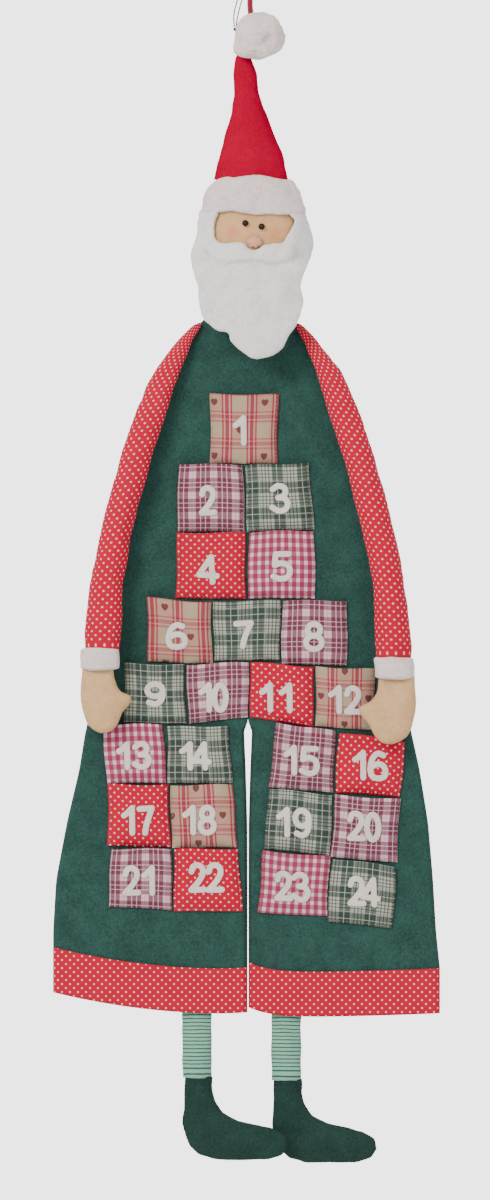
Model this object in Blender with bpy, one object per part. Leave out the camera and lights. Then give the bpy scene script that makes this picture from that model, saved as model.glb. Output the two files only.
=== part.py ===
"""A hanging cloth advent calendar: a stuffed Father Christmas doll in a long felt
garment with 24 patch pockets, one for each day.

Metres, +Z up. The origin is the nail that the ribbon's eye goes over. X runs to the
right as the calendar is looked at. The doll faces -Y and its back lies on a wall at +Y.
A drop is a distance below the nail. Left and right are the viewer's.
"""
import math

import bmesh
import bpy
import numpy as np

# General
CLEARANCE = 0.0003
WALL_Y = 0.006
RING_SIDES = 16

# Hanging ribbon and its eye
RIBBON_WIDTH = 0.0044
RIBBON_THICKNESS = 0.0008
EYE_WIDTH = 0.011
EYE_HEIGHT = 0.020
EYE_STEPS = 14
EYE_TAPER_SHARE = 0.3
RIBBON_BEND_DROP = 0.050
RIBBON_END_DROP = 0.098

# Thread loop
THREAD_DIAMETER = 0.0014
KNOT_DIAMETER = 0.0046
THREAD_Y = -0.0036
THREAD_ROUTE = (
    (-0.0156, 0.0572),
    (-0.0162, 0.0500),
    (-0.0157, 0.0420),
    (-0.0126, 0.0300),
    (-0.0078, 0.0150),
    (-0.0034, 0.0030),
    (-0.0018, -0.0014),
    (0.0004, -0.0027),
    (0.0022, -0.0012),
    (0.0016, 0.0040),
    (-0.0022, 0.0150),
    (-0.0081, 0.0300),
    (-0.0113, 0.0420),
    (-0.0130, 0.0500),
    (-0.0140, 0.0572),
)
THREAD_STEPS = 4
THREAD_SIDES = 8
# Across to the hat tip, down to it, and the knot's or the tail's width
KNOT_SECTION_SHARES = (
    (0.00, 0.00, 0.35),
    (0.00, 0.03, 0.85),
    (0.00, 0.07, 1.00),
    (0.02, 0.11, 0.85),
    (0.05, 0.15, 0.35),
    (0.55, 0.45, 0.28),
    (0.90, 0.75, 0.28),
    (1.00, 1.00, 0.28),
)

# Hat
HAT_TIP_DROP = 0.0835
HAT_HEIGHT = 0.124
HAT_WIDTH = 0.0742
HAT_DEPTH = 0.042
HAT_BACK_Y = 0.001
HAT_CENTRE_SHIFT = 0.0079
HAT_FOOT_ACROSS = 0.0009
# Down the hat, its middle's shift towards the left, width, depth and set forward
HAT_SECTION_SHARES = (
    (0.000, 1.00, 0.175, 0.34),
    (0.050, 1.00, 0.230, 0.39),
    (0.185, 0.75, 0.358, 0.42),
    (0.360, 0.45, 0.426, 0.53),
    (0.500, 0.25, 0.542, 0.66),
    (0.640, 0.19, 0.693, 0.80),
    (0.800, 0.01, 0.843, 0.92),
    (1.000, 0.00, 1.000, 1.00),
)
POMPOM_DIAMETER = 0.0488
POMPOM_ACROSS = 0.010
POMPOM_DROP = 0.066
POMPOM_ROWS = 12

# Hat brim
BRIM_HEIGHT = 0.036
BRIM_WIDTH = 0.107
BRIM_DEPTH = 0.054
BRIM_WALL = 0.006
# Down the brim, its width and depth
BRIM_SECTION_SHARES = (
    (0.00, 0.73, 0.80),
    (0.12, 0.78, 0.86),
    (0.35, 0.87, 0.95),
    (0.70, 0.93, 0.99),
    (1.00, 1.00, 1.00),
)

# Head
HEAD_ACROSS = 0.0025
HEAD_WIDTH = 0.094
HEAD_DEPTH = 0.043
HEAD_LENGTH = 0.1402
HEAD_SIDES = 20
# Down the head, width, depth, and how far its middle has come back to the neck
HEAD_SECTION_SHARES = (
    (0.00, 0.56, 0.50, 0.0),
    (0.05, 0.72, 0.66, 0.0),
    (0.18, 0.90, 0.90, 0.0),
    (0.35, 0.99, 0.99, 0.0),
    (0.50, 1.00, 1.00, 0.0),
    (0.62, 0.94, 0.97, 0.0),
    (0.76, 0.79, 0.85, 0.15),
    (0.88, 0.62, 0.62, 0.6),
    (1.00, 0.55, 0.26, 1.0),
)
EYE_BEAD_DIAMETER = 0.0064
LEFT_EYE_ACROSS = -0.0047
LEFT_EYE_SET_DOWN = 0.0102
RIGHT_EYE_ACROSS = 0.0116
RIGHT_EYE_SET_DOWN = 0.0136
NOSE_DIAMETER = 0.0128
NOSE_DEPTH_SHARE = 0.6
NOSE_ACROSS = 0.0046
NOSE_SET_DOWN = 0.0287

# Moustache with its side whiskers, which frame the face
WHISKER_THICKNESS = 0.009
SAG_CLEARANCE = 0.0012
WHISKER_HALF_WIDTH = 0.060
WHISKER_HEIGHT = 0.043
FACE_HALF_WIDTH = 0.039
FACE_HEIGHT = 0.0375
# From the middle of the moustache out and up to the brim: inner edge, then outer edge
FACE_EDGE_SHARES = (
    (0.00, 1.00),
    (0.18, 0.96),
    (0.27, 0.84),
    (0.49, 0.81),
    (0.73, 0.78),
    (0.90, 0.62),
    (0.97, 0.40),
    (1.00, 0.20),
    (1.00, 0.00),
)
WHISKER_EDGE_SHARES = (
    (0.00, 1.00),
    (0.13, 1.00),
    (0.27, 1.00),
    (0.50, 1.00),
    (0.78, 1.00),
    (1.00, 1.00),
    (0.98, 0.70),
    (0.94, 0.40),
    (0.90, 0.00),
)
PUFF_PLACE_SHARES = (0.0, 0.12, 0.3, 0.5, 0.7, 0.88, 1.0)
PUFF_DEPTH_SHARES = (0.3, 0.75, 1.0, 1.0, 1.0, 0.75, 0.3)
DRAPE_LIMIT_SHARE = 0.8
DRAPE_SLOPE_SHARE = 0.7

# Beard
BEARD_LENGTH = 0.101
BEARD_HALF_WIDTH = 0.060
BEARD_THICKNESS = 0.009
BEARD_WRAP = 0.012
BEARD_CLEARANCE = 0.0015
# Down the beard, its left edge, right edge and thickness
BEARD_ROW_SHARES = (
    (0.00, 1.00, 1.00, 0.35),
    (0.015, 1.01, 0.99, 0.75),
    (0.05, 1.02, 0.97, 1.0),
    (0.13, 1.00, 0.91, 1.0),
    (0.23, 0.95, 0.84, 0.92),
    (0.32, 0.90, 0.81, 1.0),
    (0.42, 0.91, 0.86, 1.0),
    (0.55, 0.87, 0.83, 0.92),
    (0.65, 0.77, 0.75, 1.0),
    (0.75, 0.55, 0.62, 0.95),
    (0.82, 0.40, 0.55, 0.9),
    (0.91, 0.24, 0.42, 0.8),
    (0.96, 0.12, 0.31, 0.6),
    (1.00, 0.02, 0.18, 0.3),
)

# Garment of two felt layers over wadding
FELT = 0.002
PADDING = 0.006
GARMENT_ACROSS = -0.002
GARMENT_HALF_WIDTH = 0.195
GARMENT_LENGTH = 0.651
EDGE_ROLL = 0.003
EDGE_ROLL_SHARES = (0.0, 0.35, 1.0)
EDGE_RISE_SHARES = (0.0, 0.65, 1.0)
# Down the garment to its hem, then its left and right half width
GARMENT_ROW_SHARES = (
    (0.000, 0.22, 0.225),
    (0.013, 0.27, 0.270),
    (0.041, 0.32, 0.325),
    (0.088, 0.40, 0.400),
    (0.160, 0.49, 0.500),
    (0.266, 0.615, 0.625),
    (0.371, 0.69, 0.710),
    (0.503, 0.755, 0.760),
    (0.586, 0.795, 0.805),
    (0.618, 0.82, 0.825),
    (0.635, 0.835, 0.838),
    (0.692, 0.865, 0.880),
    (0.775, 0.93, 0.925),
    (0.863, 0.985, 0.950),
    (0.940, 1.000, 0.965),
    (1.000, 1.000, 0.985),
)
SLIT_TOP_ROW = 9
SLIT_HALF_WIDTH = 0.004
SLIT_HALF_WIDTH_SHARES = (0.0, 0.95, 0.55, 0.18, 0.15, 0.15, 0.15)
INNER_COLUMN_SHARES = (0.33, 0.66)
WADDING_FIRST_ROW = 1
MEETING_STEP = 0.00001

# Hem bands
HEM_HEIGHT = 0.045
HEM_CLOTH = 0.0015
HEM_OUTER_RISE = {"left": 0.022, "right": 0.004}
HEM_INNER_RISE = {"left": 0.002, "right": 0.010}
HEM_SET_DOWN = {"left": 0.0, "right": 0.003}
OUTER_CURVE_POWER = 2.2
INNER_CURVE_POWER = 9
HEM_ROW_SHARES = (0.0, 0.5, 1.0)

# Arms
SHOULDER_ACROSS_SHARE = 0.246
SHOULDER_SET_DOWN = 0.0077
SLEEVE_LENGTH = {"left": 0.320, "right": 0.329}
SLEEVE_REACH = 0.098
SLEEVE_HEAD_RISE = 0.004
SLEEVE_WIDTH = 0.037
SLEEVE_DEPTH = 0.026
ARM_LIFT = 0.0095
# Down the sleeve, outwards, and its width and depth
SLEEVE_SECTION_SHARES = (
    (0.00, 0.00, 0.16),
    (0.02, 0.05, 0.26),
    (0.06, 0.15, 0.38),
    (0.10, 0.22, 0.52),
    (0.16, 0.33, 0.70),
    (0.21, 0.40, 0.80),
    (0.30, 0.51, 0.90),
    (0.40, 0.63, 0.94),
    (0.52, 0.74, 0.97),
    (0.68, 0.88, 0.95),
    (0.82, 0.96, 0.95),
    (0.96, 1.00, 1.00),
    (1.00, 1.00, 0.90),
)
CUFF_LENGTH = 0.025
CUFF_WIDTH = 0.0395
CUFF_DEPTH = 0.029
CUFF_SECTION_SHARES = ((0.0, 0.90), (0.10, 0.98), (0.5, 1.0), (0.90, 0.98), (1.0, 0.88))
HAND_LENGTH = 0.0625
HAND_WIDTH = 0.036
HAND_DEPTH = 0.023
# The mitten's outline with its thumb on the inner side, from the wrist round
HAND_OUTLINE_SHARES = (
    (-0.45, 0.0),
    (-0.50, 0.37),
    (-0.43, 0.65),
    (-0.27, 0.88),
    (0.08, 1.00),
    (0.40, 0.98),
    (0.60, 0.86),
    (0.74, 0.70),
    (0.95, 0.56),
    (0.99, 0.42),
    (0.71, 0.33),
    (0.55, 0.17),
    (0.47, 0.0),
)
HAND_MIDDLE_SHARES = (0.06, 0.50)
HAND_STEPS = 2
STUFFED_RING_SHARES = (0.94, 0.8, 0.55, 0.28)

# Legs
LEG_ACROSS = {"left": -0.053, "right": 0.0363}
STOCKING_WIDTH = 0.031
STOCKING_DEPTH = 0.020
STOCKING_LENGTH = 0.061
LEG_Y = -0.0050
LEG_PIVOT_RISE = 0.0115
TAB_TOP_RISE = 0.0175
TAB_GAP = 0.0005
TAB_END_DROP = 0.0080
SHANK_START_DROP = 0.0200
TAB_CORNER = 0.002
BOOT_HEIGHT = 0.086
BOOT_LENGTH = 0.106
BOOT_DEPTH = 0.0205
TOE_TURN_SHARE = 0.38
# Down the boot, its heel edge, toe edge and depth
BOOT_SECTION_SHARES = (
    (0.00, 0.02, 0.29, 0.95),
    (0.15, 0.01, 0.30, 1.0),
    (0.30, 0.01, 0.33, 1.0),
    (0.43, 0.01, 0.40, 1.0),
    (0.52, 0.00, 0.55, 1.0),
    (0.57, 0.00, 0.73, 1.0),
    (0.63, 0.01, 0.87, 1.0),
    (0.72, 0.03, 0.98, 1.0),
    (0.84, 0.07, 1.00, 1.0),
    (0.94, 0.16, 0.95, 0.9),
    (1.00, 0.32, 0.80, 0.6),
)

# Pockets: middle across and down from the first one, width and height, all in shares
# of the pitch, then how many degrees the right side lies lower
POCKET_PITCH = 0.066
FIRST_POCKET_SET_DOWN = 0.1103
POCKET_CLOTH = 0.0012
POCKET_BELLY = 0.0075
POCKET_PLACE_SHARES = {
    1: (-0.086, 0.000, 1.04, 1.045, 0.0),
    2: (-0.592, 1.050, 1.00, 1.010, 0.0),
    3: (0.436, 1.045, 1.00, 1.000, 0.0),
    4: (-0.591, 2.080, 1.03, 1.010, 0.0),
    5: (0.470, 2.070, 1.00, 1.010, 0.0),
    6: (-1.060, 3.065, 0.96, 0.920, 1.0),
    7: (-0.048, 3.067, 1.00, 0.925, 0.0),
    8: (0.970, 3.085, 0.97, 0.930, 0.0),
    9: (-1.436, 4.006, 0.93, 0.900, 0.0),
    10: (-0.485, 3.985, 0.93, 0.875, 0.0),
    11: (0.477, 4.020, 0.94, 0.860, 2.0),
    12: (1.447, 4.090, 0.93, 0.920, 3.0),
    13: (-1.748, 4.940, 0.92, 0.840, -3.0),
    14: (-0.770, 4.943, 0.95, 0.845, -1.0),
    15: (0.794, 5.000, 0.95, 0.960, 6.0),
    16: (1.813, 5.120, 1.00, 0.875, 6.0),
    17: (-1.683, 5.865, 0.93, 0.930, 0.0),
    18: (-0.712, 5.877, 0.96, 0.925, 0.0),
    19: (0.740, 5.945, 1.00, 0.900, 6.5),
    20: (1.764, 6.070, 1.00, 0.955, 6.0),
    21: (-1.660, 6.820, 0.95, 0.900, 0.0),
    22: (-0.655, 6.840, 1.00, 0.955, 0.0),
    23: (0.671, 6.910, 1.00, 0.940, 6.5),
    24: (1.712, 7.045, 1.00, 0.950, 6.0),
}
POCKET_ACROSS_SHARES = (-1.0, -0.93, -0.75, -0.35, 0.35, 0.75, 0.93, 1.0)
POCKET_BELLY_ACROSS_SHARES = (0.0, 0.42, 0.86, 1.0, 1.0, 0.86, 0.42, 0.0)
POCKET_UP_SHARES = (0.0, 0.07, 0.24, 0.6, 1.0)
POCKET_BELLY_UP_SHARES = (0.0, 0.45, 0.88, 1.0, 1.0)

# Hinge at the hat's tip
SWAY_DROP = 0.088

# Colours
GREEN_FELT = (0.021, 0.091, 0.061)
BOOT_FELT = (0.026, 0.091, 0.053)
RED_FELT = (0.578, 0.013, 0.038)
FLEECE = (0.679, 0.658, 0.610)
CALICO = (0.610, 0.445, 0.275)
WADDING_WHITE = (0.75, 0.75, 0.73)
DOTTED_COTTON = (0.679, 0.040, 0.055)
MINT_KNIT = (0.305, 0.644, 0.456)
BEAD_BLACK = (0.010, 0.009, 0.009)
DARK_THREAD = (0.102, 0.012, 0.010)
HEART_PLAID = (0.578, 0.340, 0.242)
BERRY_PLAID = (0.350, 0.060, 0.080)
LEAF_PLAID = (0.150, 0.280, 0.180)
ROSE_CHECK = (0.540, 0.070, 0.110)
POCKET_COLOURS = {
    "heart plaid": HEART_PLAID,
    "berry plaid": BERRY_PLAID,
    "leaf plaid": LEAF_PLAID,
    "dotted cotton": DOTTED_COTTON,
    "rose check": ROSE_CHECK,
}
POCKET_CLOTHS = {
    "heart plaid": "1 6 12 18",
    "berry plaid": "2 8 10 15 20 21",
    "leaf plaid": "3 7 9 14 19 24",
    "dotted cotton": "4 11 16 17 22",
    "rose check": "5 13 23",
}

# Places that several pieces share
BACK_PANEL_FRONT_Y = WALL_Y - FELT
SEAM_BACK_Y = BACK_PANEL_FRONT_Y - CLEARANCE
GARMENT_FRONT_Y = SEAM_BACK_Y - PADDING - FELT
POCKET_SEAT_Y = GARMENT_FRONT_Y - CLEARANCE
RIBBON_BACKED_Y = -RIBBON_THICKNESS / 2 - CLEARANCE
HAT_TIP_ACROSS = HAT_FOOT_ACROSS - HAT_CENTRE_SHIFT
HAT_FOOT_DROP = HAT_TIP_DROP + HAT_HEIGHT
BRIM_TOP_DROP = HAT_FOOT_DROP + CLEARANCE
FACE_TOP_DROP = BRIM_TOP_DROP + BRIM_HEIGHT
BRIM_Y = WALL_Y - BRIM_DEPTH / 2
NECK_DROP = BRIM_TOP_DROP + HEAD_LENGTH
GARMENT_TOP_DROP = NECK_DROP + CLEARANCE
SHOULDER_ACROSS = SHOULDER_ACROSS_SHARE * GARMENT_HALF_WIDTH
SHOULDER_DROP = GARMENT_TOP_DROP + SHOULDER_SET_DOWN
FIRST_POCKET_DROP = GARMENT_TOP_DROP + FIRST_POCKET_SET_DOWN
WHISKER_FOOT_DROP = FACE_TOP_DROP + CLEARANCE + WHISKER_HEIGHT
BEARD_TOP_DROP = WHISKER_FOOT_DROP + CLEARANCE
HEM_TOP_DROP = GARMENT_TOP_DROP + GARMENT_LENGTH
HEM_BOTTOM_DROP = HEM_TOP_DROP + HEM_HEIGHT
SIDES = {"left": -1, "right": 1}


def clear_scene():
    """Take away what a new file holds."""
    for thing in list(bpy.data.objects):
        bpy.data.objects.remove(thing, do_unlink=True)


def material(name, colour, roughness=0.92):
    """Return the named cloth or bead material, made once."""
    made = bpy.data.materials.get(name)
    if made is None:
        made = bpy.data.materials.new(name)
        made.use_nodes = True
        shader = made.node_tree.nodes["Principled BSDF"]
        shader.inputs["Base Color"].default_value = (*colour, 1.0)
        shader.inputs["Roughness"].default_value = roughness
        shader.inputs["Metallic"].default_value = 0.0
    return made


def add_pivot(name, place, parent=None):
    """Add an empty at a world place, carried by its parent."""
    pivot = bpy.data.objects.new(name, None)
    bpy.context.collection.objects.link(pivot)
    pivot.parent = parent
    above = world_place(parent)
    pivot.location = [here - there for here, there in zip(place, above)]
    return pivot


def world_place(thing):
    """Return where an empty is, by adding up the locations that carry it."""
    place = [0.0, 0.0, 0.0]
    while thing is not None:
        place = [total + step for total, step in zip(place, thing.location)]
        thing = thing.parent
    return place


def add_piece(name, form, cloth, pivot=None, smooth=True):
    """Turn a bmesh in world places into one object whose origin is its pivot."""
    bmesh.ops.recalc_face_normals(form, faces=form.faces)
    origin = world_place(pivot)
    bmesh.ops.translate(form, verts=form.verts, vec=[-value for value in origin])
    mesh = bpy.data.meshes.new(name)
    form.to_mesh(mesh)
    form.free()
    if smooth:
        mesh.shade_smooth()
        mesh.set_sharp_from_angle(angle=math.radians(50))
    mesh.materials.append(cloth)
    piece = bpy.data.objects.new(name, mesh)
    bpy.context.collection.objects.link(piece)
    piece.parent = pivot
    return piece


def thick_sheet(spots, faces):
    """Give a flat pattern of spots (across, front y, back y, drop) its two sides and rim."""
    form = bmesh.new()
    fronts = [form.verts.new((across, front, -drop)) for across, front, back, drop in spots]
    backs = [form.verts.new((across, back, -drop)) for across, front, back, drop in spots]
    edge_uses = {}
    for face in faces:
        form.faces.new([fronts[index] for index in face])
        form.faces.new([backs[index] for index in reversed(face)])
        for start, end in zip(face, face[1:] + face[:1]):
            key = (min(start, end), max(start, end))
            edge_uses[key] = edge_uses.get(key, 0) + 1
    for (start, end), uses in edge_uses.items():
        if uses == 1:
            form.faces.new((fronts[start], fronts[end], backs[end], backs[start]))
    return form


def grid_faces(rows, columns, first=0):
    """Return the four-sided faces of a grid of spots that is written row by row."""
    faces = []
    for row in range(rows - 1):
        for column in range(columns - 1):
            corner = first + row * columns + column
            faces.append((corner, corner + 1, corner + columns + 1, corner + columns))
    return faces


def ring(across, y, drop, half_width, half_depth, sides=RING_SIDES):
    """Return one level oval of points round a place."""
    turns = [2 * math.pi * side / sides for side in range(sides)]
    return [(across + half_width * math.cos(turn), y + half_depth * math.sin(turn), -drop) for turn in turns]


def loft(rings):
    """Skin a stack of rings and close its two ends."""
    form = bmesh.new()
    loops = [[form.verts.new(point) for point in points] for points in rings]
    for upper, lower in zip(loops, loops[1:]):
        for side in range(len(upper)):
            after = (side + 1) % len(upper)
            form.faces.new((upper[side], upper[after], lower[after], lower[side]))
    form.faces.new(loops[0])
    form.faces.new(loops[-1])
    return form


def band_loft(outer_rings, inner_rings):
    """Skin an open ring of cloth from its outer and inner stacks of rings."""
    form = bmesh.new()
    stacks = outer_rings + inner_rings[::-1]
    loops = [[form.verts.new(point) for point in points] for points in stacks]
    for upper, lower in zip(loops, loops[1:] + loops[:1]):
        for side in range(len(upper)):
            after = (side + 1) % len(upper)
            form.faces.new((upper[side], upper[after], lower[after], lower[side]))
    return form


def ball(place, radius, depth_share=1.0, rows=10):
    """Return a round ball, flattened from front to back by its depth share."""
    form = bmesh.new()
    bmesh.ops.create_uvsphere(form, u_segments=rows + rows // 2, v_segments=rows, radius=radius)
    bmesh.ops.scale(form, vec=(1.0, depth_share, 1.0), verts=form.verts)
    bmesh.ops.translate(form, vec=place, verts=form.verts)
    return form


def smooth_path(points, step_count):
    """Return points on a smooth curve through the given ones, Catmull-Rom fashion."""
    ends = [points[0], *points, points[-1]]
    path = []
    for before, start, end, after in zip(ends, ends[1:], ends[2:], ends[3:]):
        before, start, end, after = (np.array(point) for point in (before, start, end, after))
        for step in range(step_count):
            t = step / step_count
            bend = 2 * before - 5 * start + 4 * end - after
            twist = 3 * start - before - 3 * end + after
            path.append((2 * start + (end - before) * t + bend * t * t + twist * t**3) / 2)
    path.append(np.array(points[-1]))
    return path


def build_ribbon():
    """The doubled ribbon: its eye is edge-on for a nail, its strand lies flat behind the hat."""
    eye = bmesh.new()
    loops = []
    for growth in (0.0, RIBBON_THICKNESS):
        for y in (-RIBBON_WIDTH / 2, RIBBON_WIDTH / 2):
            loops.append([eye.verts.new((across, y, -drop)) for across, drop in eye_outline(growth)])
    inner_front, inner_back, outer_front, outer_back = loops
    for first, second in (
        (inner_front, inner_back),
        (inner_back, outer_back),
        (outer_back, outer_front),
        (outer_front, inner_front),
    ):
        for step in range(EYE_STEPS):
            after = (step + 1) % EYE_STEPS
            eye.faces.new((first[step], first[after], second[after], second[step]))
    ribbon = add_piece("hanging_ribbon", eye, material("red ribbon", RED_FELT, 0.5))

    middles = (
        (0.0, EYE_HEIGHT + RIBBON_THICKNESS / 2),
        (0.0, RIBBON_BEND_DROP),
        (HAT_TIP_ACROSS, RIBBON_END_DROP),
    )
    spots = []
    for across, drop in middles:
        for side in SIDES.values():
            edge = across + side * RIBBON_WIDTH / 2
            spots.append((edge, -RIBBON_THICKNESS / 2, RIBBON_THICKNESS / 2, drop))
    strand = add_piece("ribbon_strand", thick_sheet(spots, grid_faces(3, 2)), material("red ribbon", RED_FELT))
    strand.hide_render = True
    strand.display_type = "WIRE"
    join = ribbon.modifiers.new("sewn strand", "BOOLEAN")
    join.operation = "UNION"
    join.object = strand


def eye_outline(growth):
    """Return the egg shape of the ribbon's eye, grown by the ribbon's thickness or not."""
    outline = []
    for step in range(EYE_STEPS):
        turn = 2 * math.pi * step / EYE_STEPS
        width = (EYE_WIDTH / 2 + growth) * (1 - EYE_TAPER_SHARE * math.cos(turn))
        height = EYE_HEIGHT / 2 + growth
        outline.append((width * math.sin(turn), EYE_HEIGHT / 2 + height * math.cos(turn)))
    return outline


def build_thread():
    """The thin thread over the same nail, and its knot with a tail down to the hat."""
    path = smooth_path(THREAD_ROUTE, THREAD_STEPS)
    curve = bpy.data.curves.new("thread_loop", "CURVE")
    curve.dimensions = "3D"
    curve.bevel_depth = THREAD_DIAMETER / 2
    curve.bevel_resolution = 2
    curve.use_fill_caps = True
    spline = curve.splines.new("POLY")
    spline.points.add(len(path) - 1)
    for point, (across, drop) in zip(spline.points, path):
        point.co = (across, THREAD_Y, -drop, 1.0)
    curve.materials.append(material("dark red thread", DARK_THREAD, 0.6))
    thread = bpy.data.objects.new("thread_loop", curve)
    bpy.context.collection.objects.link(thread)

    knot_across = (THREAD_ROUTE[0][0] + THREAD_ROUTE[-1][0]) / 2
    knot_top = THREAD_ROUTE[0][1] + CLEARANCE
    tail_end = HAT_TIP_DROP - CLEARANCE
    rings = []
    for across_share, down_share, width_share in KNOT_SECTION_SHARES:
        across = knot_across + across_share * (HAT_TIP_ACROSS - knot_across)
        drop = knot_top + down_share * (tail_end - knot_top)
        half = width_share * KNOT_DIAMETER / 2
        rings.append(ring(across, THREAD_Y, drop, half, half, THREAD_SIDES))
    add_piece("thread_knot", loft(rings), material("dark red thread", DARK_THREAD))


def build_hat(doll):
    """The bent felt cone and the pompom sewn to its tip."""
    rings = []
    for down, shift, width, depth in HAT_SECTION_SHARES:
        half_depth = depth * HAT_DEPTH / 2
        back = RIBBON_BACKED_Y + down * (HAT_BACK_Y - RIBBON_BACKED_Y) * down
        across = HAT_FOOT_ACROSS - shift * HAT_CENTRE_SHIFT
        drop = HAT_TIP_DROP + down * HAT_HEIGHT
        rings.append(ring(across, back - half_depth, drop, width * HAT_WIDTH / 2, half_depth))
    add_piece("hat_cone", loft(rings), material("red felt", RED_FELT), doll)

    radius = POMPOM_DIAMETER / 2
    tip_half_width = HAT_SECTION_SHARES[0][2] * HAT_WIDTH / 2
    tip_half_depth = HAT_SECTION_SHARES[0][3] * HAT_DEPTH / 2
    apart = math.hypot(POMPOM_ACROSS - HAT_TIP_ACROSS - tip_half_width / 2, HAT_TIP_DROP - POMPOM_DROP)
    tip_front = RIBBON_BACKED_Y - 2 * tip_half_depth
    touching = tip_front - CLEARANCE - math.sqrt(radius**2 - apart**2)
    clear_of_ribbon = RIBBON_BACKED_Y - radius
    y = min(touching, clear_of_ribbon)
    pompom = ball((POMPOM_ACROSS, y, -POMPOM_DROP), radius, rows=POMPOM_ROWS)
    add_piece("pompom", pompom, material("white fleece", FLEECE), doll)


def build_brim(doll):
    """The open fleece band round the head below the cone."""
    outer = []
    inner = []
    for down, width, depth in BRIM_SECTION_SHARES:
        drop = BRIM_TOP_DROP + down * BRIM_HEIGHT
        half_width = width * BRIM_WIDTH / 2
        half_depth = depth * BRIM_DEPTH / 2
        outer.append(ring(HEAD_ACROSS, BRIM_Y, drop, half_width, half_depth))
        inner.append(ring(HEAD_ACROSS, BRIM_Y, drop, half_width - BRIM_WALL, half_depth - BRIM_WALL))
    add_piece("hat_brim", band_loft(outer, inner), material("white fleece", FLEECE), doll)


def head_section(drop):
    """Return the head's middle y, half width and half depth at a drop."""
    shares = np.array(HEAD_SECTION_SHARES)
    down = (drop - BRIM_TOP_DROP) / (NECK_DROP - BRIM_TOP_DROP)
    width = np.interp(down, shares[:, 0], shares[:, 1]) * HEAD_WIDTH / 2
    depth = np.interp(down, shares[:, 0], shares[:, 2]) * HEAD_DEPTH / 2
    back = np.interp(down, shares[:, 0], shares[:, 3])
    neck_y = (GARMENT_FRONT_Y + WALL_Y) / 2
    return BRIM_Y + back * (neck_y - BRIM_Y), width, depth


def head_front(across, drop):
    """Return the y of the face, carried on past the cheeks as cloth that drapes would be."""
    middle, half_width, half_depth = head_section(drop)
    share = abs(across - HEAD_ACROSS) / half_width
    held = min(share, DRAPE_LIMIT_SHARE)
    beyond = (share - held) * half_width * DRAPE_SLOPE_SHARE
    return middle - half_depth * math.sqrt(1 - held**2) + beyond


def build_head(doll):
    """The stuffed head down to its neck, with bead eyes and a nose."""
    rings = []
    for down, *_ in HEAD_SECTION_SHARES:
        drop = BRIM_TOP_DROP + down * (NECK_DROP - BRIM_TOP_DROP)
        middle, half_width, half_depth = head_section(drop)
        rings.append(ring(HEAD_ACROSS, middle, drop, half_width, half_depth, HEAD_SIDES))
    add_piece("head", loft(rings), material("tan calico", CALICO), doll)

    eyes = {"left": (LEFT_EYE_ACROSS, LEFT_EYE_SET_DOWN), "right": (RIGHT_EYE_ACROSS, RIGHT_EYE_SET_DOWN)}
    for side, (across, set_down) in eyes.items():
        drop = FACE_TOP_DROP + set_down
        radius = EYE_BEAD_DIAMETER / 2
        y = head_front(across, drop) - CLEARANCE - radius
        bead = ball((across, y, -drop), radius)
        add_piece(side + "_eye", bead, material("black bead", BEAD_BLACK, 0.2), doll)
    radius = NOSE_DIAMETER / 2
    drop = FACE_TOP_DROP + NOSE_SET_DOWN
    y = head_front(NOSE_ACROSS, drop) - CLEARANCE - radius * NOSE_DEPTH_SHARE
    nose = ball((NOSE_ACROSS, y, -drop), radius, NOSE_DEPTH_SHARE)
    add_piece("nose", nose, material("tan calico", CALICO), doll)


def build_whiskers(doll):
    """The moustache and side whiskers, one fleece piece round the face, under the brim."""
    top = FACE_TOP_DROP + CLEARANCE
    stations = []
    for (inner_out, inner_down), (outer_out, outer_down) in zip(FACE_EDGE_SHARES, WHISKER_EDGE_SHARES):
        inner = (inner_out * FACE_HALF_WIDTH, top + inner_down * FACE_HEIGHT)
        outer = (outer_out * WHISKER_HALF_WIDTH, top + outer_down * WHISKER_HEIGHT)
        stations.append((inner, outer))
    whole = [((-inner[0], inner[1]), (-outer[0], outer[1])) for inner, outer in stations[:0:-1]] + stations
    spots = []
    for inner, outer in whole:
        for place, depth in zip(PUFF_PLACE_SHARES, PUFF_DEPTH_SHARES):
            across = HEAD_ACROSS + inner[0] + place * (outer[0] - inner[0])
            drop = inner[1] + place * (outer[1] - inner[1])
            back = head_front(across, drop) - CLEARANCE - SAG_CLEARANCE
            spots.append((across, back - depth * WHISKER_THICKNESS, back, drop))
    faces = grid_faces(len(whole), len(PUFF_PLACE_SHARES))
    add_piece("moustache", thick_sheet(spots, faces), material("white fleece", FLEECE), doll)


def build_beard(doll):
    """The beard, which hangs from its top edge and can be lifted."""
    front_back = head_front(HEAD_ACROSS, BEARD_TOP_DROP) - BEARD_CLEARANCE
    middle_y = front_back - BEARD_THICKNESS / 2
    hinge_drop = BEARD_TOP_DROP + BEARD_THICKNESS / 2
    pivot = add_pivot("beard_hinge", (HEAD_ACROSS, middle_y, -hinge_drop), doll)
    spots = []
    for down, left, right, thickness in BEARD_ROW_SHARES:
        for place, puff in zip(PUFF_PLACE_SHARES, PUFF_DEPTH_SHARES):
            offset = (place * (left + right) - left) * BEARD_HALF_WIDTH
            y = middle_y + BEARD_WRAP * (offset / BEARD_HALF_WIDTH) ** 2
            half = thickness * puff * BEARD_THICKNESS / 2
            spots.append((HEAD_ACROSS + offset, y - half, y + half, BEARD_TOP_DROP + down * BEARD_LENGTH))
    faces = grid_faces(len(BEARD_ROW_SHARES), len(PUFF_PLACE_SHARES))
    add_piece("beard", thick_sheet(spots, faces), material("white fleece", FLEECE), pivot)


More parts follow.
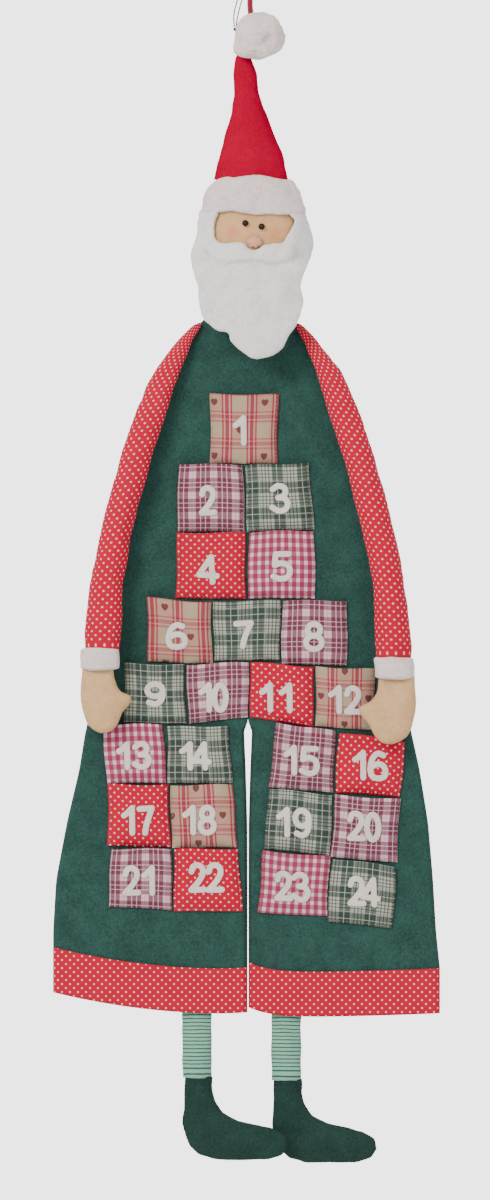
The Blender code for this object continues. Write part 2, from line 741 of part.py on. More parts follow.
def garment_row(row):
    """Return a garment row's drop, left edge, right edge and slit half width."""
    down, left, right = GARMENT_ROW_SHARES[min(row, len(GARMENT_ROW_SHARES) - 1)]
    drop = GARMENT_TOP_DROP + down * GARMENT_LENGTH
    slit_row = min(max(row - SLIT_TOP_ROW, 0), len(SLIT_HALF_WIDTH_SHARES) - 1)
    slit = SLIT_HALF_WIDTH_SHARES[slit_row] * SLIT_HALF_WIDTH
    return drop, GARMENT_ACROSS - left * GARMENT_HALF_WIDTH, GARMENT_ACROSS + right * GARMENT_HALF_WIDTH, slit


def hem_drop(side, across_share, down_share):
    """Return the drop on the curved hem; the across share runs from the outer edge in."""
    outer = HEM_OUTER_RISE[side] * (1 - across_share) ** OUTER_CURVE_POWER
    inner = HEM_INNER_RISE[side] * across_share**INNER_CURVE_POWER
    return HEM_TOP_DROP + HEM_SET_DOWN[side] + down_share * HEM_HEIGHT - outer - inner


def half_columns(outer_edge, inner_edge, roll, pinched_inside):
    """Return the across places and edge rises of one half row, from its outer edge in."""
    towards = 1 if inner_edge > outer_edge else -1
    outer = [(outer_edge + towards * roll * share, rise) for share, rise in zip(EDGE_ROLL_SHARES, EDGE_RISE_SHARES)]
    span = inner_edge - outer_edge
    middle = [(outer_edge + span * share, 1.0) for share in INNER_COLUMN_SHARES]
    rises = EDGE_RISE_SHARES if pinched_inside else (1.0,) * len(EDGE_RISE_SHARES)
    inner = [(inner_edge - towards * roll * share, rise) for share, rise in zip(EDGE_ROLL_SHARES, rises)]
    return outer + middle + inner[::-1]


def garment_half(side, first_row, last_row, inset=0.0, hem_rows=HEM_ROW_SHARES):
    """Return rows of (across, drop, rise) for one half of the garment, from its outer edge in."""
    rows = []
    for row in range(first_row, last_row):
        drop, left, right, slit = garment_row(row)
        outer_edge = left + inset if side == "left" else right - inset
        gap = slit + inset if row >= SLIT_TOP_ROW else slit
        inner_edge = GARMENT_ACROSS + SIDES[side] * gap
        columns = half_columns(outer_edge, inner_edge, EDGE_ROLL, row > SLIT_TOP_ROW)
        rows.append([(across, drop, rise) for across, rise in columns])
    for down_share in hem_rows:
        _, left, right, slit = garment_row(len(GARMENT_ROW_SHARES) - 1)
        outer_edge = left + inset if side == "left" else right - inset
        inner_edge = GARMENT_ACROSS + SIDES[side] * (slit + inset)
        columns = half_columns(outer_edge, inner_edge, EDGE_ROLL, True)
        span = inner_edge - outer_edge
        rows.append([(x, hem_drop(side, (x - outer_edge) / span, down_share), rise) for x, rise in columns])
    return rows


def panel(name, sheets, front_and_back, cloth, doll):
    """Skin half-garment rows as one sheet, sewing the halves together where they meet."""
    spots = []
    faces = []
    known = {}
    for rows in sheets:
        indices = []
        for row in rows:
            for across, drop, rise in row:
                key = (round(across / MEETING_STEP), round(drop / MEETING_STEP))
                if key not in known:
                    known[key] = len(spots)
                    front, back = front_and_back(rise)
                    spots.append((across, front, back, drop))
                indices.append(known[key])
        for face in grid_faces(len(rows), len(rows[0])):
            faces.append(tuple(indices[corner] for corner in face))
    add_piece(name, thick_sheet(spots, faces), cloth, doll)


def build_garment(doll):
    """Two felt layers sewn edge to edge over wadding, slit up the middle into two legs."""
    rows = len(GARMENT_ROW_SHARES) - 1
    halves = [garment_half(side, 0, rows) for side in SIDES]
    felt = material("green felt", GREEN_FELT)
    panel("garment_back", halves, lambda rise: (BACK_PANEL_FRONT_Y, WALL_Y), felt, doll)

    def front_panel(rise):
        back = SEAM_BACK_Y - rise * PADDING
        return back - FELT, back

    panel("garment_front", halves, front_panel, felt, doll)

    def filling(rise):
        return SEAM_BACK_Y - PADDING + CLEARANCE, SEAM_BACK_Y

    fills = [garment_half(side, WADDING_FIRST_ROW, rows, EDGE_ROLL + CLEARANCE, ()) for side in SIDES]
    panel("wadding", fills, filling, material("wadding", WADDING_WHITE), doll)

    def band(rise):
        back = front_panel(rise)[0] - CLEARANCE
        return back - HEM_CLOTH, back

    for side in SIDES:
        strip = [garment_half(side, 0, 0)]
        panel(side + "_hem_band", strip, band, material("dotted cotton", DOTTED_COTTON), doll)


def build_pocket(number, doll, cloth):
    """One patch pocket, sewn flat down its sides and along its foot, open at its mouth."""
    across, down, width, height, tilt = POCKET_PLACE_SHARES[number]
    middle = (across * POCKET_PITCH, FIRST_POCKET_DROP + down * POCKET_PITCH)
    turn = math.radians(tilt)
    spots = []
    for up, up_belly in zip(POCKET_UP_SHARES, POCKET_BELLY_UP_SHARES):
        for out, out_belly in zip(POCKET_ACROSS_SHARES, POCKET_BELLY_ACROSS_SHARES):
            right = out * width * POCKET_PITCH / 2
            lower = (1 - 2 * up) * height * POCKET_PITCH / 2
            x = middle[0] + right * math.cos(turn) - lower * math.sin(turn)
            drop = middle[1] + lower * math.cos(turn) + right * math.sin(turn)
            back = POCKET_SEAT_Y - up_belly * out_belly * POCKET_BELLY
            spots.append((x, back - POCKET_CLOTH, back, drop))
    faces = grid_faces(len(POCKET_UP_SHARES), len(POCKET_ACROSS_SHARES))
    add_piece(f"pocket_{number:02d}", thick_sheet(spots, faces), cloth, doll)


def build_pockets(doll):
    """All 24 pockets in their five cloths."""
    for name, numbers in POCKET_CLOTHS.items():
        for number in numbers.split():
            build_pocket(int(number), doll, material(name, POCKET_COLOURS[name]))


def build_arm(side, doll):
    """A stuffed sleeve with its cuff and mitten, hinged at the shoulder."""
    out = SIDES[side]
    shoulder = (GARMENT_ACROSS + out * SHOULDER_ACROSS, POCKET_SEAT_Y, -SHOULDER_DROP)
    pivot = add_pivot(side + "_shoulder", shoulder, doll)
    rings = []
    for down, reach, width in SLEEVE_SECTION_SHARES:
        half_depth = width * SLEEVE_DEPTH / 2
        y = POCKET_SEAT_Y - half_depth - ARM_LIFT * down
        x = shoulder[0] + out * reach * SLEEVE_REACH
        drop = SHOULDER_DROP - SLEEVE_HEAD_RISE + down * (SLEEVE_LENGTH[side] + SLEEVE_HEAD_RISE)
        rings.append(ring(x, y, drop, width * SLEEVE_WIDTH / 2, half_depth))
    add_piece(side + "_sleeve", loft(rings), material("dotted cotton", DOTTED_COTTON), pivot)

    wrist_x = shoulder[0] + out * SLEEVE_REACH
    wrist_y = POCKET_SEAT_Y - SLEEVE_DEPTH / 2 - ARM_LIFT
    cuff_drop = SHOULDER_DROP + SLEEVE_LENGTH[side] + CLEARANCE
    rings = []
    for down, width in CUFF_SECTION_SHARES:
        drop = cuff_drop + down * CUFF_LENGTH
        rings.append(ring(wrist_x, wrist_y, drop, width * CUFF_WIDTH / 2, width * CUFF_DEPTH / 2))
    add_piece(side + "_cuff", loft(rings), material("white fleece", FLEECE), pivot)
    build_hand(side, pivot, (wrist_x, wrist_y, cuff_drop + CUFF_LENGTH + CLEARANCE))


def build_hand(side, pivot, wrist):
    """A flat stuffed mitten: its outline shrinks in rings while both faces swell."""
    form = bmesh.new()
    outline = smooth_path(HAND_OUTLINE_SHARES, HAND_STEPS)
    middle = np.array(HAND_MIDDLE_SHARES)

    def spot(shares, depth_share):
        x = wrist[0] + SIDES[side] * -shares[0] * HAND_WIDTH
        return form.verts.new((x, wrist[1] + depth_share * HAND_DEPTH / 2, -wrist[2] - shares[1] * HAND_LENGTH))

    edge = [spot(point, 0.0) for point in outline]
    for face_side in (-1, 1):
        outer = edge
        for share in STUFFED_RING_SHARES:
            depth = face_side * math.sqrt(1 - share**2)
            inner = [spot(middle + share * (point - middle), depth) for point in outline]
            for step in range(len(outline)):
                after = (step + 1) % len(outline)
                form.faces.new((outer[step], outer[after], inner[after], inner[step]))
            outer = inner
        form.faces.new(outer)
    add_piece(side + "_hand", form, material("tan calico", CALICO), pivot)


def build_leg(side, doll):
    """A stuffed stocking whose flat top is sewn inside the hem, and its felt boot."""
    x = LEG_ACROSS[side]
    outer_edge = GARMENT_ACROSS + SIDES[side] * GARMENT_HALF_WIDTH
    hem = hem_drop(side, (x - outer_edge) / (GARMENT_ACROSS - outer_edge), 1.0)
    tab_y = (SEAM_BACK_Y + SEAM_BACK_Y - PADDING) / 2
    pivot = add_pivot(side + "_leg_hinge", (x, tab_y, LEG_PIVOT_RISE - hem), doll)
    half = STOCKING_WIDTH / 2
    tab_half = PADDING / 2 - TAB_GAP
    sections = (
        (-TAB_TOP_RISE, half - TAB_CORNER, tab_half / 2, tab_y),
        (-TAB_TOP_RISE + TAB_CORNER, half, tab_half, tab_y),
        (TAB_END_DROP, half, tab_half, tab_y),
        (SHANK_START_DROP, half, STOCKING_DEPTH / 2, LEG_Y),
        (STOCKING_LENGTH / 2, half, STOCKING_DEPTH / 2, LEG_Y),
        (STOCKING_LENGTH, half - TAB_CORNER / 2, STOCKING_DEPTH / 2, LEG_Y),
    )
    rings = [ring(x, y, hem + drop, width, depth) for drop, width, depth, y in sections]
    add_piece(side + "_stocking", loft(rings), material("mint knit", MINT_KNIT), pivot)

    boot_left = x - half
    top = hem + STOCKING_LENGTH + CLEARANCE
    ankle = x + half
    rings = []
    for down, heel, toe, depth in BOOT_SECTION_SHARES:
        heel_x = boot_left + heel * BOOT_LENGTH
        toe_x = boot_left + toe * BOOT_LENGTH
        points = ring((heel_x + toe_x) / 2, LEG_Y, top + down * BOOT_HEIGHT, (toe_x - heel_x) / 2, depth * BOOT_DEPTH / 2)
        rings.append([(px, py - TOE_TURN_SHARE * max(px - ankle, 0.0), pz) for px, py, pz in points])
    add_piece(side + "_boot", loft(rings), material("boot felt", BOOT_FELT), pivot)


def build():
    """Make the whole calendar."""
    clear_scene()
    build_ribbon()
    build_thread()
    doll = add_pivot("doll_sway", (HAT_TIP_ACROSS, 0.0, -SWAY_DROP))
    build_hat(doll)
    build_brim(doll)
    build_head(doll)
    build_whiskers(doll)
    build_beard(doll)
    build_garment(doll)
    build_pockets(doll)
    for side in SIDES:
        build_arm(side, doll)
        build_leg(side, doll)


build()
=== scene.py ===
# %% [markdown]
# # A cloth advent calendar, dressed in Blender
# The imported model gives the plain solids: a stuffed Father Christmas doll in a long felt garment
# with 24 patch pockets. This lesson replaces every one of those solids with a detailed piece of
# the same form: cloth with a weave, felt with fibres, fleece that is puffed and dimpled.
# Everything is in metres, in one frame, so each piece goes where its solid lies.

# %% Load the frame
import math

import bmesh
import bpy
import numpy as np
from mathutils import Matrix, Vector, noise
from mathutils.kdtree import KDTree


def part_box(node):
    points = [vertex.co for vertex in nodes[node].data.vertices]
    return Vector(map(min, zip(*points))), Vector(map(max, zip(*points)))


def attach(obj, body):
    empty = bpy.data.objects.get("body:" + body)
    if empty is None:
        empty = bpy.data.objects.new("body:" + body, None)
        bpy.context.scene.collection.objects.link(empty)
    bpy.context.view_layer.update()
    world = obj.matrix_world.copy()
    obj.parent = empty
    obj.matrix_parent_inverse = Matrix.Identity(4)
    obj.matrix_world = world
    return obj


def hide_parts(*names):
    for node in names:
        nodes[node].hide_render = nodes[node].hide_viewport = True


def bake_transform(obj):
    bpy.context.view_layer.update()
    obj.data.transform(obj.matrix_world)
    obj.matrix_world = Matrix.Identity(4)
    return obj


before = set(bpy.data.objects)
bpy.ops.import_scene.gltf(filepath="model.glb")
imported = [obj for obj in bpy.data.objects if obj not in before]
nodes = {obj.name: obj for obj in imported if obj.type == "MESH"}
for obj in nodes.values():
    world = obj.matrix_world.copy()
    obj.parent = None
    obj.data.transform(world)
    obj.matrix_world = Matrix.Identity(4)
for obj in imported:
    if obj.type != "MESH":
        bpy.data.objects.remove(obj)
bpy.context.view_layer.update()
print("solids in the frame:", len(nodes))

# %% [markdown]
# ## Camera
# The real calendar was photographed straight on, from a few metres away, so its sides hardly
# show. A long lens far back gives that flat look. One thousand pixels of the picture are one
# metre of the calendar, and its height sets how wide the lens opens.

# %% Camera
CAMERA_AWAY = 18
CAMERA_ACROSS = -0.005
CAMERA_DROP = 0.630
PICTURE_HEIGHT = 1.2
GARMENT_FRONT_Y = -0.0043

camera_data = bpy.data.cameras.new("camera")
camera_data.lens = camera_data.sensor_width * (CAMERA_AWAY + GARMENT_FRONT_Y) / PICTURE_HEIGHT
camera = bpy.data.objects.new("camera", camera_data)
camera.location = (CAMERA_ACROSS, -CAMERA_AWAY, -CAMERA_DROP)
camera.rotation_euler = (math.pi / 2, 0, 0)
bpy.context.scene.collection.objects.link(camera)
bpy.context.scene.camera = camera
print("camera lens in mm:", round(camera_data.lens, 1))

# %% [markdown]
# ## Light and floor
# The calendar hangs in even daylight from the upper left, with soft shadows under the pocket
# mouths, the brim and the beard. A large area light on that side makes them, a weaker one on the
# right opens them up, and a pale world fills the rest. The floor is far below, out of the view.

# %% Light and floor
KEY_LIGHT = {"place": (-1.5, -2.3, 0.9), "size": 1.1, "power": 135}
FILL_LIGHT = {"place": (1.9, -2.2, -0.3), "size": 1.8, "power": 14}
BACK_LIGHT = {"place": (0.8, 2.2, 0.6), "size": 1.6, "power": 20}
LIGHT_AIM = (0, 0, -0.6)
WORLD_COLOUR = (0.965, 0.965, 0.985, 1)
WORLD_STRENGTH = 2.1
WALL_COLOUR = (0.955, 0.955, 0.985, 1)
WALL_STRENGTH = 3.6
FLOOR_DROP = 1.75
FLOOR_HALF_SIDE = 15
FLOOR_COLOUR = (0.90, 0.89, 0.91, 1)


def add_light(name, place, size, power):
    """Put a square area light at a place and turn it to the calendar."""
    lamp = bpy.data.lights.new(name, "AREA")
    lamp.size = size
    lamp.energy = power
    thing = bpy.data.objects.new(name, lamp)
    thing.location = place
    aim = bpy.data.objects.new(name + "_aim", None)
    aim.location = LIGHT_AIM
    track = thing.constraints.new("TRACK_TO")
    track.target = aim
    bpy.context.scene.collection.objects.link(thing)
    bpy.context.scene.collection.objects.link(aim)


add_light("key_light", **KEY_LIGHT)
add_light("fill_light", **FILL_LIGHT)
add_light("back_light", **BACK_LIGHT)
world = bpy.data.worlds.new("daylight")
world.use_nodes = True
room = world.node_tree
daylight = room.nodes["Background"]
daylight.inputs["Color"].default_value = WORLD_COLOUR
daylight.inputs["Strength"].default_value = WORLD_STRENGTH
seen = room.nodes.new("ShaderNodeBackground")
seen.inputs["Color"].default_value = WALL_COLOUR
seen.inputs["Strength"].default_value = WALL_STRENGTH
straight = room.nodes.new("ShaderNodeLightPath")
either = room.nodes.new("ShaderNodeMixShader")
room.links.new(straight.outputs["Is Camera Ray"], either.inputs["Fac"])
room.links.new(daylight.outputs["Background"], either.inputs[1])
room.links.new(seen.outputs["Background"], either.inputs[2])
room.links.new(either.outputs["Shader"], room.nodes["World Output"].inputs["Surface"])
bpy.context.scene.world = world
side = FLOOR_HALF_SIDE
floor_form = bpy.data.meshes.new("floor")
floor_form.from_pydata(
    [(x * side, y * side, -FLOOR_DROP) for x, y in ((-1, -1), (1, -1), (1, 1), (-1, 1))],
    [],
    [(0, 1, 2, 3)],
)
floor_finish = bpy.data.materials.new("floor_paint")
floor_finish.use_nodes = True
floor_paint = floor_finish.node_tree.nodes["Principled BSDF"]
floor_paint.inputs["Base Color"].default_value = FLOOR_COLOUR
floor_paint.inputs["Roughness"].default_value = 0.8
floor_form.materials.append(floor_finish)
floor = bpy.data.objects.new("floor", floor_form)
bpy.context.scene.collection.objects.link(floor)

# %% [markdown]
# ## Sums on a material's sockets
# A pattern on cloth is arithmetic: a stripe is a repeated distance that is less than a width.
# Wiring dozens of Math nodes by hand hides that, so a small class wraps one socket and lets
# Python's own signs add the nodes. Colours never go through Math, which would turn them grey.

# %% Sockets that can be summed


class Wire:
    """One output socket, which can stand in an expression."""

    def __init__(self, finish, socket):
        self.finish = finish
        self.socket = socket

    def __add__(self, other):
        return self.finish.maths("ADD", self, other)

    def __radd__(self, other):
        return self.finish.maths("ADD", other, self)

    def __sub__(self, other):
        return self.finish.maths("SUBTRACT", self, other)

    def __rsub__(self, other):
        return self.finish.maths("SUBTRACT", other, self)

    def __mul__(self, other):
        return self.finish.maths("MULTIPLY", self, other)

    def __rmul__(self, other):
        return self.finish.maths("MULTIPLY", other, self)

    def __truediv__(self, other):
        return self.finish.maths("DIVIDE", self, other)

    def __lt__(self, other):
        return self.finish.maths("LESS_THAN", self, other)

    def __gt__(self, other):
        return self.finish.maths("GREATER_THAN", self, other)

    def __abs__(self):
        return self.finish.maths("ABSOLUTE", self)

    def part(self):
        """Return what is left after the whole number."""
        return self.finish.maths("FRACT", self)

    def floor(self):
        """Return the whole number below."""
        return self.finish.maths("FLOOR", self)


class Finish:
    """A material while it is being made; its own name is the finish's."""

    def __init__(self, name, **constants):
        self.material = bpy.data.materials.new(name)
        self.material.use_nodes = True
        self.tree = self.material.node_tree
        self.shader = self.tree.nodes["Principled BSDF"]
        for socket, value in constants.items():
            self.shader.inputs[socket.replace("_", " ")].default_value = value

    def node(self, kind, settings=(), inputs=(), output=0):
        """Add any node: its settings first, then the values or wires of its sockets."""
        added = self.tree.nodes.new("ShaderNode" + kind)
        for setting, value in dict(settings).items():
            setattr(added, setting, value)
        for place, value in dict(inputs).items():
            if isinstance(value, Wire):
                self.tree.links.new(value.socket, added.inputs[place])
            else:
                added.inputs[place].default_value = value
        return Wire(self, added.outputs[output])

    def maths(self, operation, first, second=0):
        """Add one Math node."""
        return self.node("Math", {"operation": operation}, {0: first, 1: second})

    def mix(self, share, first, second):
        """Mix two colours; a share of one gives the second."""
        sockets = {0: share, 6: first, 7: second}
        return self.node("Mix", {"data_type": "RGBA"}, sockets, output=2)

    def shade(self, colour, share):
        """Make a colour darker or lighter by a factor that may change over the surface."""
        grey = self.node("CombineXYZ", (), {0: share, 1: share, 2: share})
        settings = {"data_type": "RGBA", "blend_type": "MULTIPLY"}
        return self.node("Mix", settings, {0: 1, 6: colour, 7: grey}, output=2)

    def place(self):
        """Return the point in metres, as the piece lay at rest."""
        return self.node("TexCoord", output=3)

    def cloth_place(self):
        """Return the two ways along the cloth, in metres, from its own map."""
        spread = self.node("UVMap", {"uv_map": CLOTH_MAP})
        apart = self.tree.nodes.new("ShaderNodeSeparateXYZ")
        self.tree.links.new(spread.socket, apart.inputs[0])
        return Wire(self, apart.outputs[0]), Wire(self, apart.outputs[1])

    def noise(self, scale, detail=2, roughness=0.5, place=None):
        """Return cloudy variation from zero to one; the scale is in lumps per metre."""
        inputs = {"Vector": place or self.place(), "Scale": scale, "Detail": detail, "Roughness": roughness}
        return self.node("TexNoise", (), inputs)

    def bump(self, height, depth, strength=1, below=None):
        """Return a normal pushed by a height from zero to one that is so many metres deep."""
        inputs = {"Strength": strength, "Distance": depth, "Height": height}
        if below is not None:
            inputs["Normal"] = below
        return self.node("Bump", (), inputs)

    def feed(self, socket, wire):
        """Wire a result into the shader."""
        self.tree.links.new(wire.socket, self.shader.inputs[socket])


CLOTH_MAP = "cloth"
print("sums on sockets are ready")

# %% [markdown]
# ## Felt, fleece and calico
# Felt is pressed wool: no threads show, but its colour is cloudy and short fibres stand on it.
# Fleece is the same idea with softer, larger curls. Both need a low, broken bump and a rough,
# slightly dusty sheen. Calico is a plain weave that stretches over the stuffing.

# %% Felt, fleece and calico
CLOTH_SHARE = 0.36
DULL = 0.08
FELT_CLOUDS = 46
FELT_FLECKS = 430
FELT_FIBRES = 1500
FELT_NAP = 0.0004
FLEECE_CURLS = 330
FLEECE_CLOUDS = 60
FLEECE_NAP = 0.0007
THREADS = 1500
SLUBS = 240
THREAD_RELIEF = 0.00015


def paint(red, green, blue, pale=1):
    """Turn a colour as seen in the bright room into the share of light that the cloth gives back."""
    light = [value / 255 for value in (red, green, blue)]
    linear = [value / 12.92 if value <= 0.04045 else ((value + 0.055) / 1.055) ** 2.4 for value in light]
    return (*(CLOTH_SHARE * pale * value for value in linear), 1)


def felt(name, dark, light, gloss=DULL):
    """Pressed wool, cloudy in colour, with flecks and short fibres."""
    finish = Finish(name, Roughness=0.95, Specular_IOR_Level=gloss)
    clouds = finish.noise(FELT_CLOUDS, detail=3, roughness=0.6)
    flecks = finish.noise(FELT_FLECKS, detail=2, roughness=0.7)
    fibres = finish.noise(FELT_FIBRES, detail=1)
    mix = (clouds - 0.5) * 0.9 + (flecks - 0.5) * 1.2 + (fibres - 0.5) * 1.4 + 0.5
    share = finish.node("Clamp", (), {0: mix})
    finish.feed("Base Color", finish.mix(share, dark, light))
    finish.feed("Normal", finish.bump(fibres * 0.6 + flecks * 0.4, FELT_NAP, 0.8))
    return finish.material


def fleece(name, hollow_shade, crown):
    """Soft curled pile, a little greyer in its hollows: painted shade where the curls' bump is low, with
    random cloudy tone besides.
    """
    finish = Finish(name, Roughness=1.0, Specular_IOR_Level=DULL, Sheen_Weight=0.1, Sheen_Roughness=0.6)
    curls = finish.noise(FLEECE_CURLS, detail=4, roughness=0.62)
    clouds = finish.noise(FLEECE_CLOUDS, detail=2)
    share = finish.node("Clamp", (), {0: (curls - 0.5) * 1.3 + (clouds - 0.5) * 0.9 + 0.62})
    # painted shade: the first colour darkens the pile where the curls are low, the same curls that make the
    # bump
    finish.feed("Base Color", finish.mix(share, hollow_shade, crown))
    finish.feed("Normal", finish.bump(curls, FLEECE_NAP, 0.75))
    return finish.material


BLUSH_RADIUS = 0.011


def calico(name, dark, light, blush=(), blush_colour=()):
    """Plain unbleached cotton over stuffing; round places may be rouged."""
    finish = Finish(name, Roughness=0.88, Specular_IOR_Level=DULL, Sheen_Weight=0.03)
    place = finish.place()
    clouds = finish.noise(70, detail=3, roughness=0.6)
    slubs = finish.noise(SLUBS, detail=2, roughness=0.7)
    share = finish.node("Clamp", (), {0: (clouds - 0.5) * 1.2 + (slubs - 0.5) * 1.1 + 0.55})
    colour = finish.mix(share, dark, light)
    for spot in blush:
        away = finish.node("VectorMath", {"operation": "DISTANCE"}, {0: place, 1: spot}, output=1)
        rouge = finish.node("Clamp", (), {0: 1 - away / BLUSH_RADIUS})
        colour = finish.mix(rouge * 0.85, colour, blush_colour)
    finish.feed("Base Color", colour)
    threads = finish.noise(THREADS, detail=1)
    finish.feed("Normal", finish.bump(threads * 0.6 + slubs * 0.4, THREAD_RELIEF, 0.8))
    return finish.material


green_felt = felt("garment_felt", paint(34, 58, 54), paint(60, 104, 92))
boot_felt = felt("boot_wool", paint(22, 49, 43), paint(50, 80, 71))
hat_felt = felt("hat_felt", paint(181, 0, 44), paint(213, 0, 61), 0)
number_felt = felt("number_felt", paint(214, 200, 188, 1.25), paint(236, 226, 214, 1.35))
# Each fleece's first colour is painted shade for the hollows of its curls.
white_fleece = fleece("trim_fleece", paint(208, 190, 183, 1.15), paint(242, 224, 217, 1.45))
beard_fleece = fleece("beard_wool", paint(216, 209, 200, 1.28), paint(240, 234, 226, 1.55))
filling_fleece = fleece("filling_wool", paint(205, 203, 198), paint(235, 233, 230))
BLUSH_PLACES = ((-0.019, -0.046, -0.262), (0.0244, -0.046, -0.266))
face_calico = calico(
    "face_calico",
    paint(224, 170, 114, 1.15),
    paint(244, 190, 134, 1.2),
    BLUSH_PLACES,
    paint(238, 132, 100, 1.1),
)
hand_calico = calico("hand_calico", paint(218, 170, 115, 1.1), paint(242, 197, 141, 1.15))
nose_calico = calico("nose_calico", paint(230, 158, 128, 1.1), paint(246, 184, 150, 1.2))
print("plain cloths:", len(bpy.data.materials))

# %% [markdown]
# ## Printed and woven cotton
# Dots and hearts are printed on the cloth, checks are dyed into its threads. All of them follow
# the cloth, not the room, so they are drawn on a map whose two ways are metres along the threads.
# A stripe is a band of a repeated distance; the same bands run both ways, and where two cross
# the colour is doubled, as in a real weave.

# %% Dots
DOT_APART = 0.008
DOT_ROWS_APART = 0.004
DOT_RADIUS = 0.00118
COTTON_THREADS = 1900


PLAIN_WEAVE_RELIEF = 0.0001
CHECK_WEAVE_RELIEF = 0.00015
DOT_FRAY = 0.0006
DOT_RIM = 0.0005


def woven(finish, along, up, relief=PLAIN_WEAVE_RELIEF):
    """Return the fine up-and-down of a plain weave."""
    over = abs((along * COTTON_THREADS).part() - 0.5)
    under = abs((up * COTTON_THREADS).part() - 0.5)
    slubs = finish.noise(300, detail=3, roughness=0.7)
    return finish.bump(over + under + slubs, relief, 0.9)


def worn(finish, colour):
    """Let a cloth's colour wander a little, as washed cotton does."""
    clouds = finish.noise(90, detail=3, roughness=0.6)
    grain = finish.noise(900, detail=1)
    return finish.shade(colour, 0.86 + clouds * 0.22 + grain * 0.08)


def dotted_cotton(name, ground, dot):
    """Red cotton with small white dots in staggered rows."""
    finish = Finish(name, Roughness=0.8, Specular_IOR_Level=DULL, Sheen_Weight=0.02)
    along, up = finish.cloth_place()
    row = (up / DOT_ROWS_APART).floor()
    shift = (row * 0.5).part()
    across = ((along / DOT_APART + shift).part() - 0.5) * DOT_APART
    down = ((up / DOT_ROWS_APART).part() - 0.5) * DOT_ROWS_APART
    away = finish.maths("SQRT", across * across + down * down)
    ragged = (finish.noise(1400, detail=1) - 0.5) * DOT_FRAY
    cover = finish.node("Clamp", (), {0: (DOT_RADIUS - away + ragged) / DOT_RIM})
    finish.feed("Base Color", worn(finish, finish.mix(cover, ground, dot)))
    finish.feed("Normal", woven(finish, along, up))
    return finish.material


dotted_red = dotted_cotton("dotted_cotton", paint(224, 0, 54), paint(255, 226, 212, 1.08))

# %% Checks and plaids


def band(way, period, middle, width):
    """Return one where the cloth lies in a repeated band, all in metres."""
    return abs((way / period + (0.5 - middle / period)).part() - 0.5) < width / 2 / period


def checked_cotton(name, ground, bands, extra=None):
    """Cotton with bands both ways, each given by its middle, width, strength and dye."""
    finish = Finish(name, Roughness=0.82, Specular_IOR_Level=DULL, Sheen_Weight=0.02)
    along, up = finish.cloth_place()
    period, tall_share, weft_share, stripes = bands
    up = up / tall_share
    colour = finish.mix(0, ground, ground)
    if extra:
        colour = extra(finish, colour, along, up)
    for middle, width, strength, dye in stripes:
        colour = finish.mix(band(up, period, middle, width) * (strength * weft_share), colour, dye)
        colour = finish.mix(band(along, period, middle, width) * strength, colour, dye)
    finish.feed("Base Color", worn(finish, colour))
    finish.feed("Normal", woven(finish, along, up, CHECK_WEAVE_RELIEF))
    return finish.material


HEART_APART = 0.0504
HEART_SIZE = 0.0030
HEART_CELL_SHARE = 2.4
HEART_BROWN = paint(112, 36, 44)
HEART_PINK = paint(216, 134, 126)


def printed_hearts(finish, colour, along, up):
    """Print small hearts on a staggered lattice, each in a pinker square of the plaid."""
    for shift in (0, 0.5):
        across = ((along / HEART_APART + shift).part() - 0.5) * (HEART_APART / HEART_SIZE)
        height = ((up / HEART_APART + shift).part() - 0.5) * (HEART_APART / HEART_SIZE)
        square = (abs(across) < HEART_CELL_SHARE) * (abs(height) < HEART_CELL_SHARE)
        colour = finish.mix(square * 0.4, colour, HEART_PINK)
        round_part = across * across + height * height - 1
        notch = across * across * height * height * height
        heart = (round_part * round_part * round_part - notch) < 0
        colour = finish.mix(heart * 0.85, colour, HEART_BROWN)
    return colour


HEART_RED = paint(174, 0, 54)
HEART_BANDS = (
    0.0252,
    1.06,
    0.62,
    (
        (0.0126, 0.0112, 0.45, paint(218, 118, 122)),
        (0.0126, 0.0038, 0.74, HEART_RED),
        (0.0082, 0.0013, 0.80, HEART_RED),
        (0.0170, 0.0013, 0.80, HEART_RED),
        (0.0103, 0.0007, 0.45, paint(240, 200, 188)),
        (0.0149, 0.0007, 0.45, paint(240, 200, 188)),
    ),
)
BERRY = paint(104, 0, 40)
BERRY_WHITE = paint(250, 222, 226)
BERRY_BANDS = (
    0.0215,
    0.93,
    0.85,
    (
        (0.0072, 0.0144, 0.38, paint(156, 20, 76)),
        (0.0022, 0.0040, 0.62, BERRY),
        (0.0072, 0.0036, 0.62, BERRY),
        (0.0122, 0.0040, 0.62, BERRY),
        (0.0047, 0.0008, 0.55, BERRY_WHITE),
        (0.0097, 0.0008, 0.55, BERRY_WHITE),
        (0.0179, 0.0008, 0.22, BERRY),
    ),
)
LEAF = paint(6, 44, 42)
LEAF_CREAM = paint(226, 228, 208)
LEAF_BANDS = (
    0.0262,
    0.98,
    0.95,
    (
        (0.0070, 0.0138, 0.34, paint(38, 80, 74)),
        (0.0026, 0.0044, 0.58, LEAF),
        (0.0084, 0.0058, 0.58, LEAF),
        (0.0053, 0.0008, 0.50, LEAF_CREAM),
        (0.0126, 0.0008, 0.40, LEAF_CREAM),
        (0.0160, 0.0011, 0.66, LEAF),
        (0.0195, 0.0011, 0.66, LEAF),
        (0.0230, 0.0011, 0.66, LEAF),
    ),
)
ROSE_BANDS = (0.0076, 1.14, 0.85, ((0.0038, 0.0042, 0.80, paint(170, 0, 68)),))
heart_plaid = checked_cotton("heart_plaid", paint(204, 176, 144), HEART_BANDS, printed_hearts)
berry_plaid = checked_cotton("berry_plaid", paint(250, 204, 214, 1.06), BERRY_BANDS)
leaf_plaid = checked_cotton("leaf_plaid", paint(198, 200, 178), LEAF_BANDS)
rose_check = checked_cotton("rose_check", paint(254, 206, 220, 1.12), ROSE_BANDS)
print("patterned cloths:", [heart_plaid.name, berry_plaid.name, leaf_plaid.name, rose_check.name])

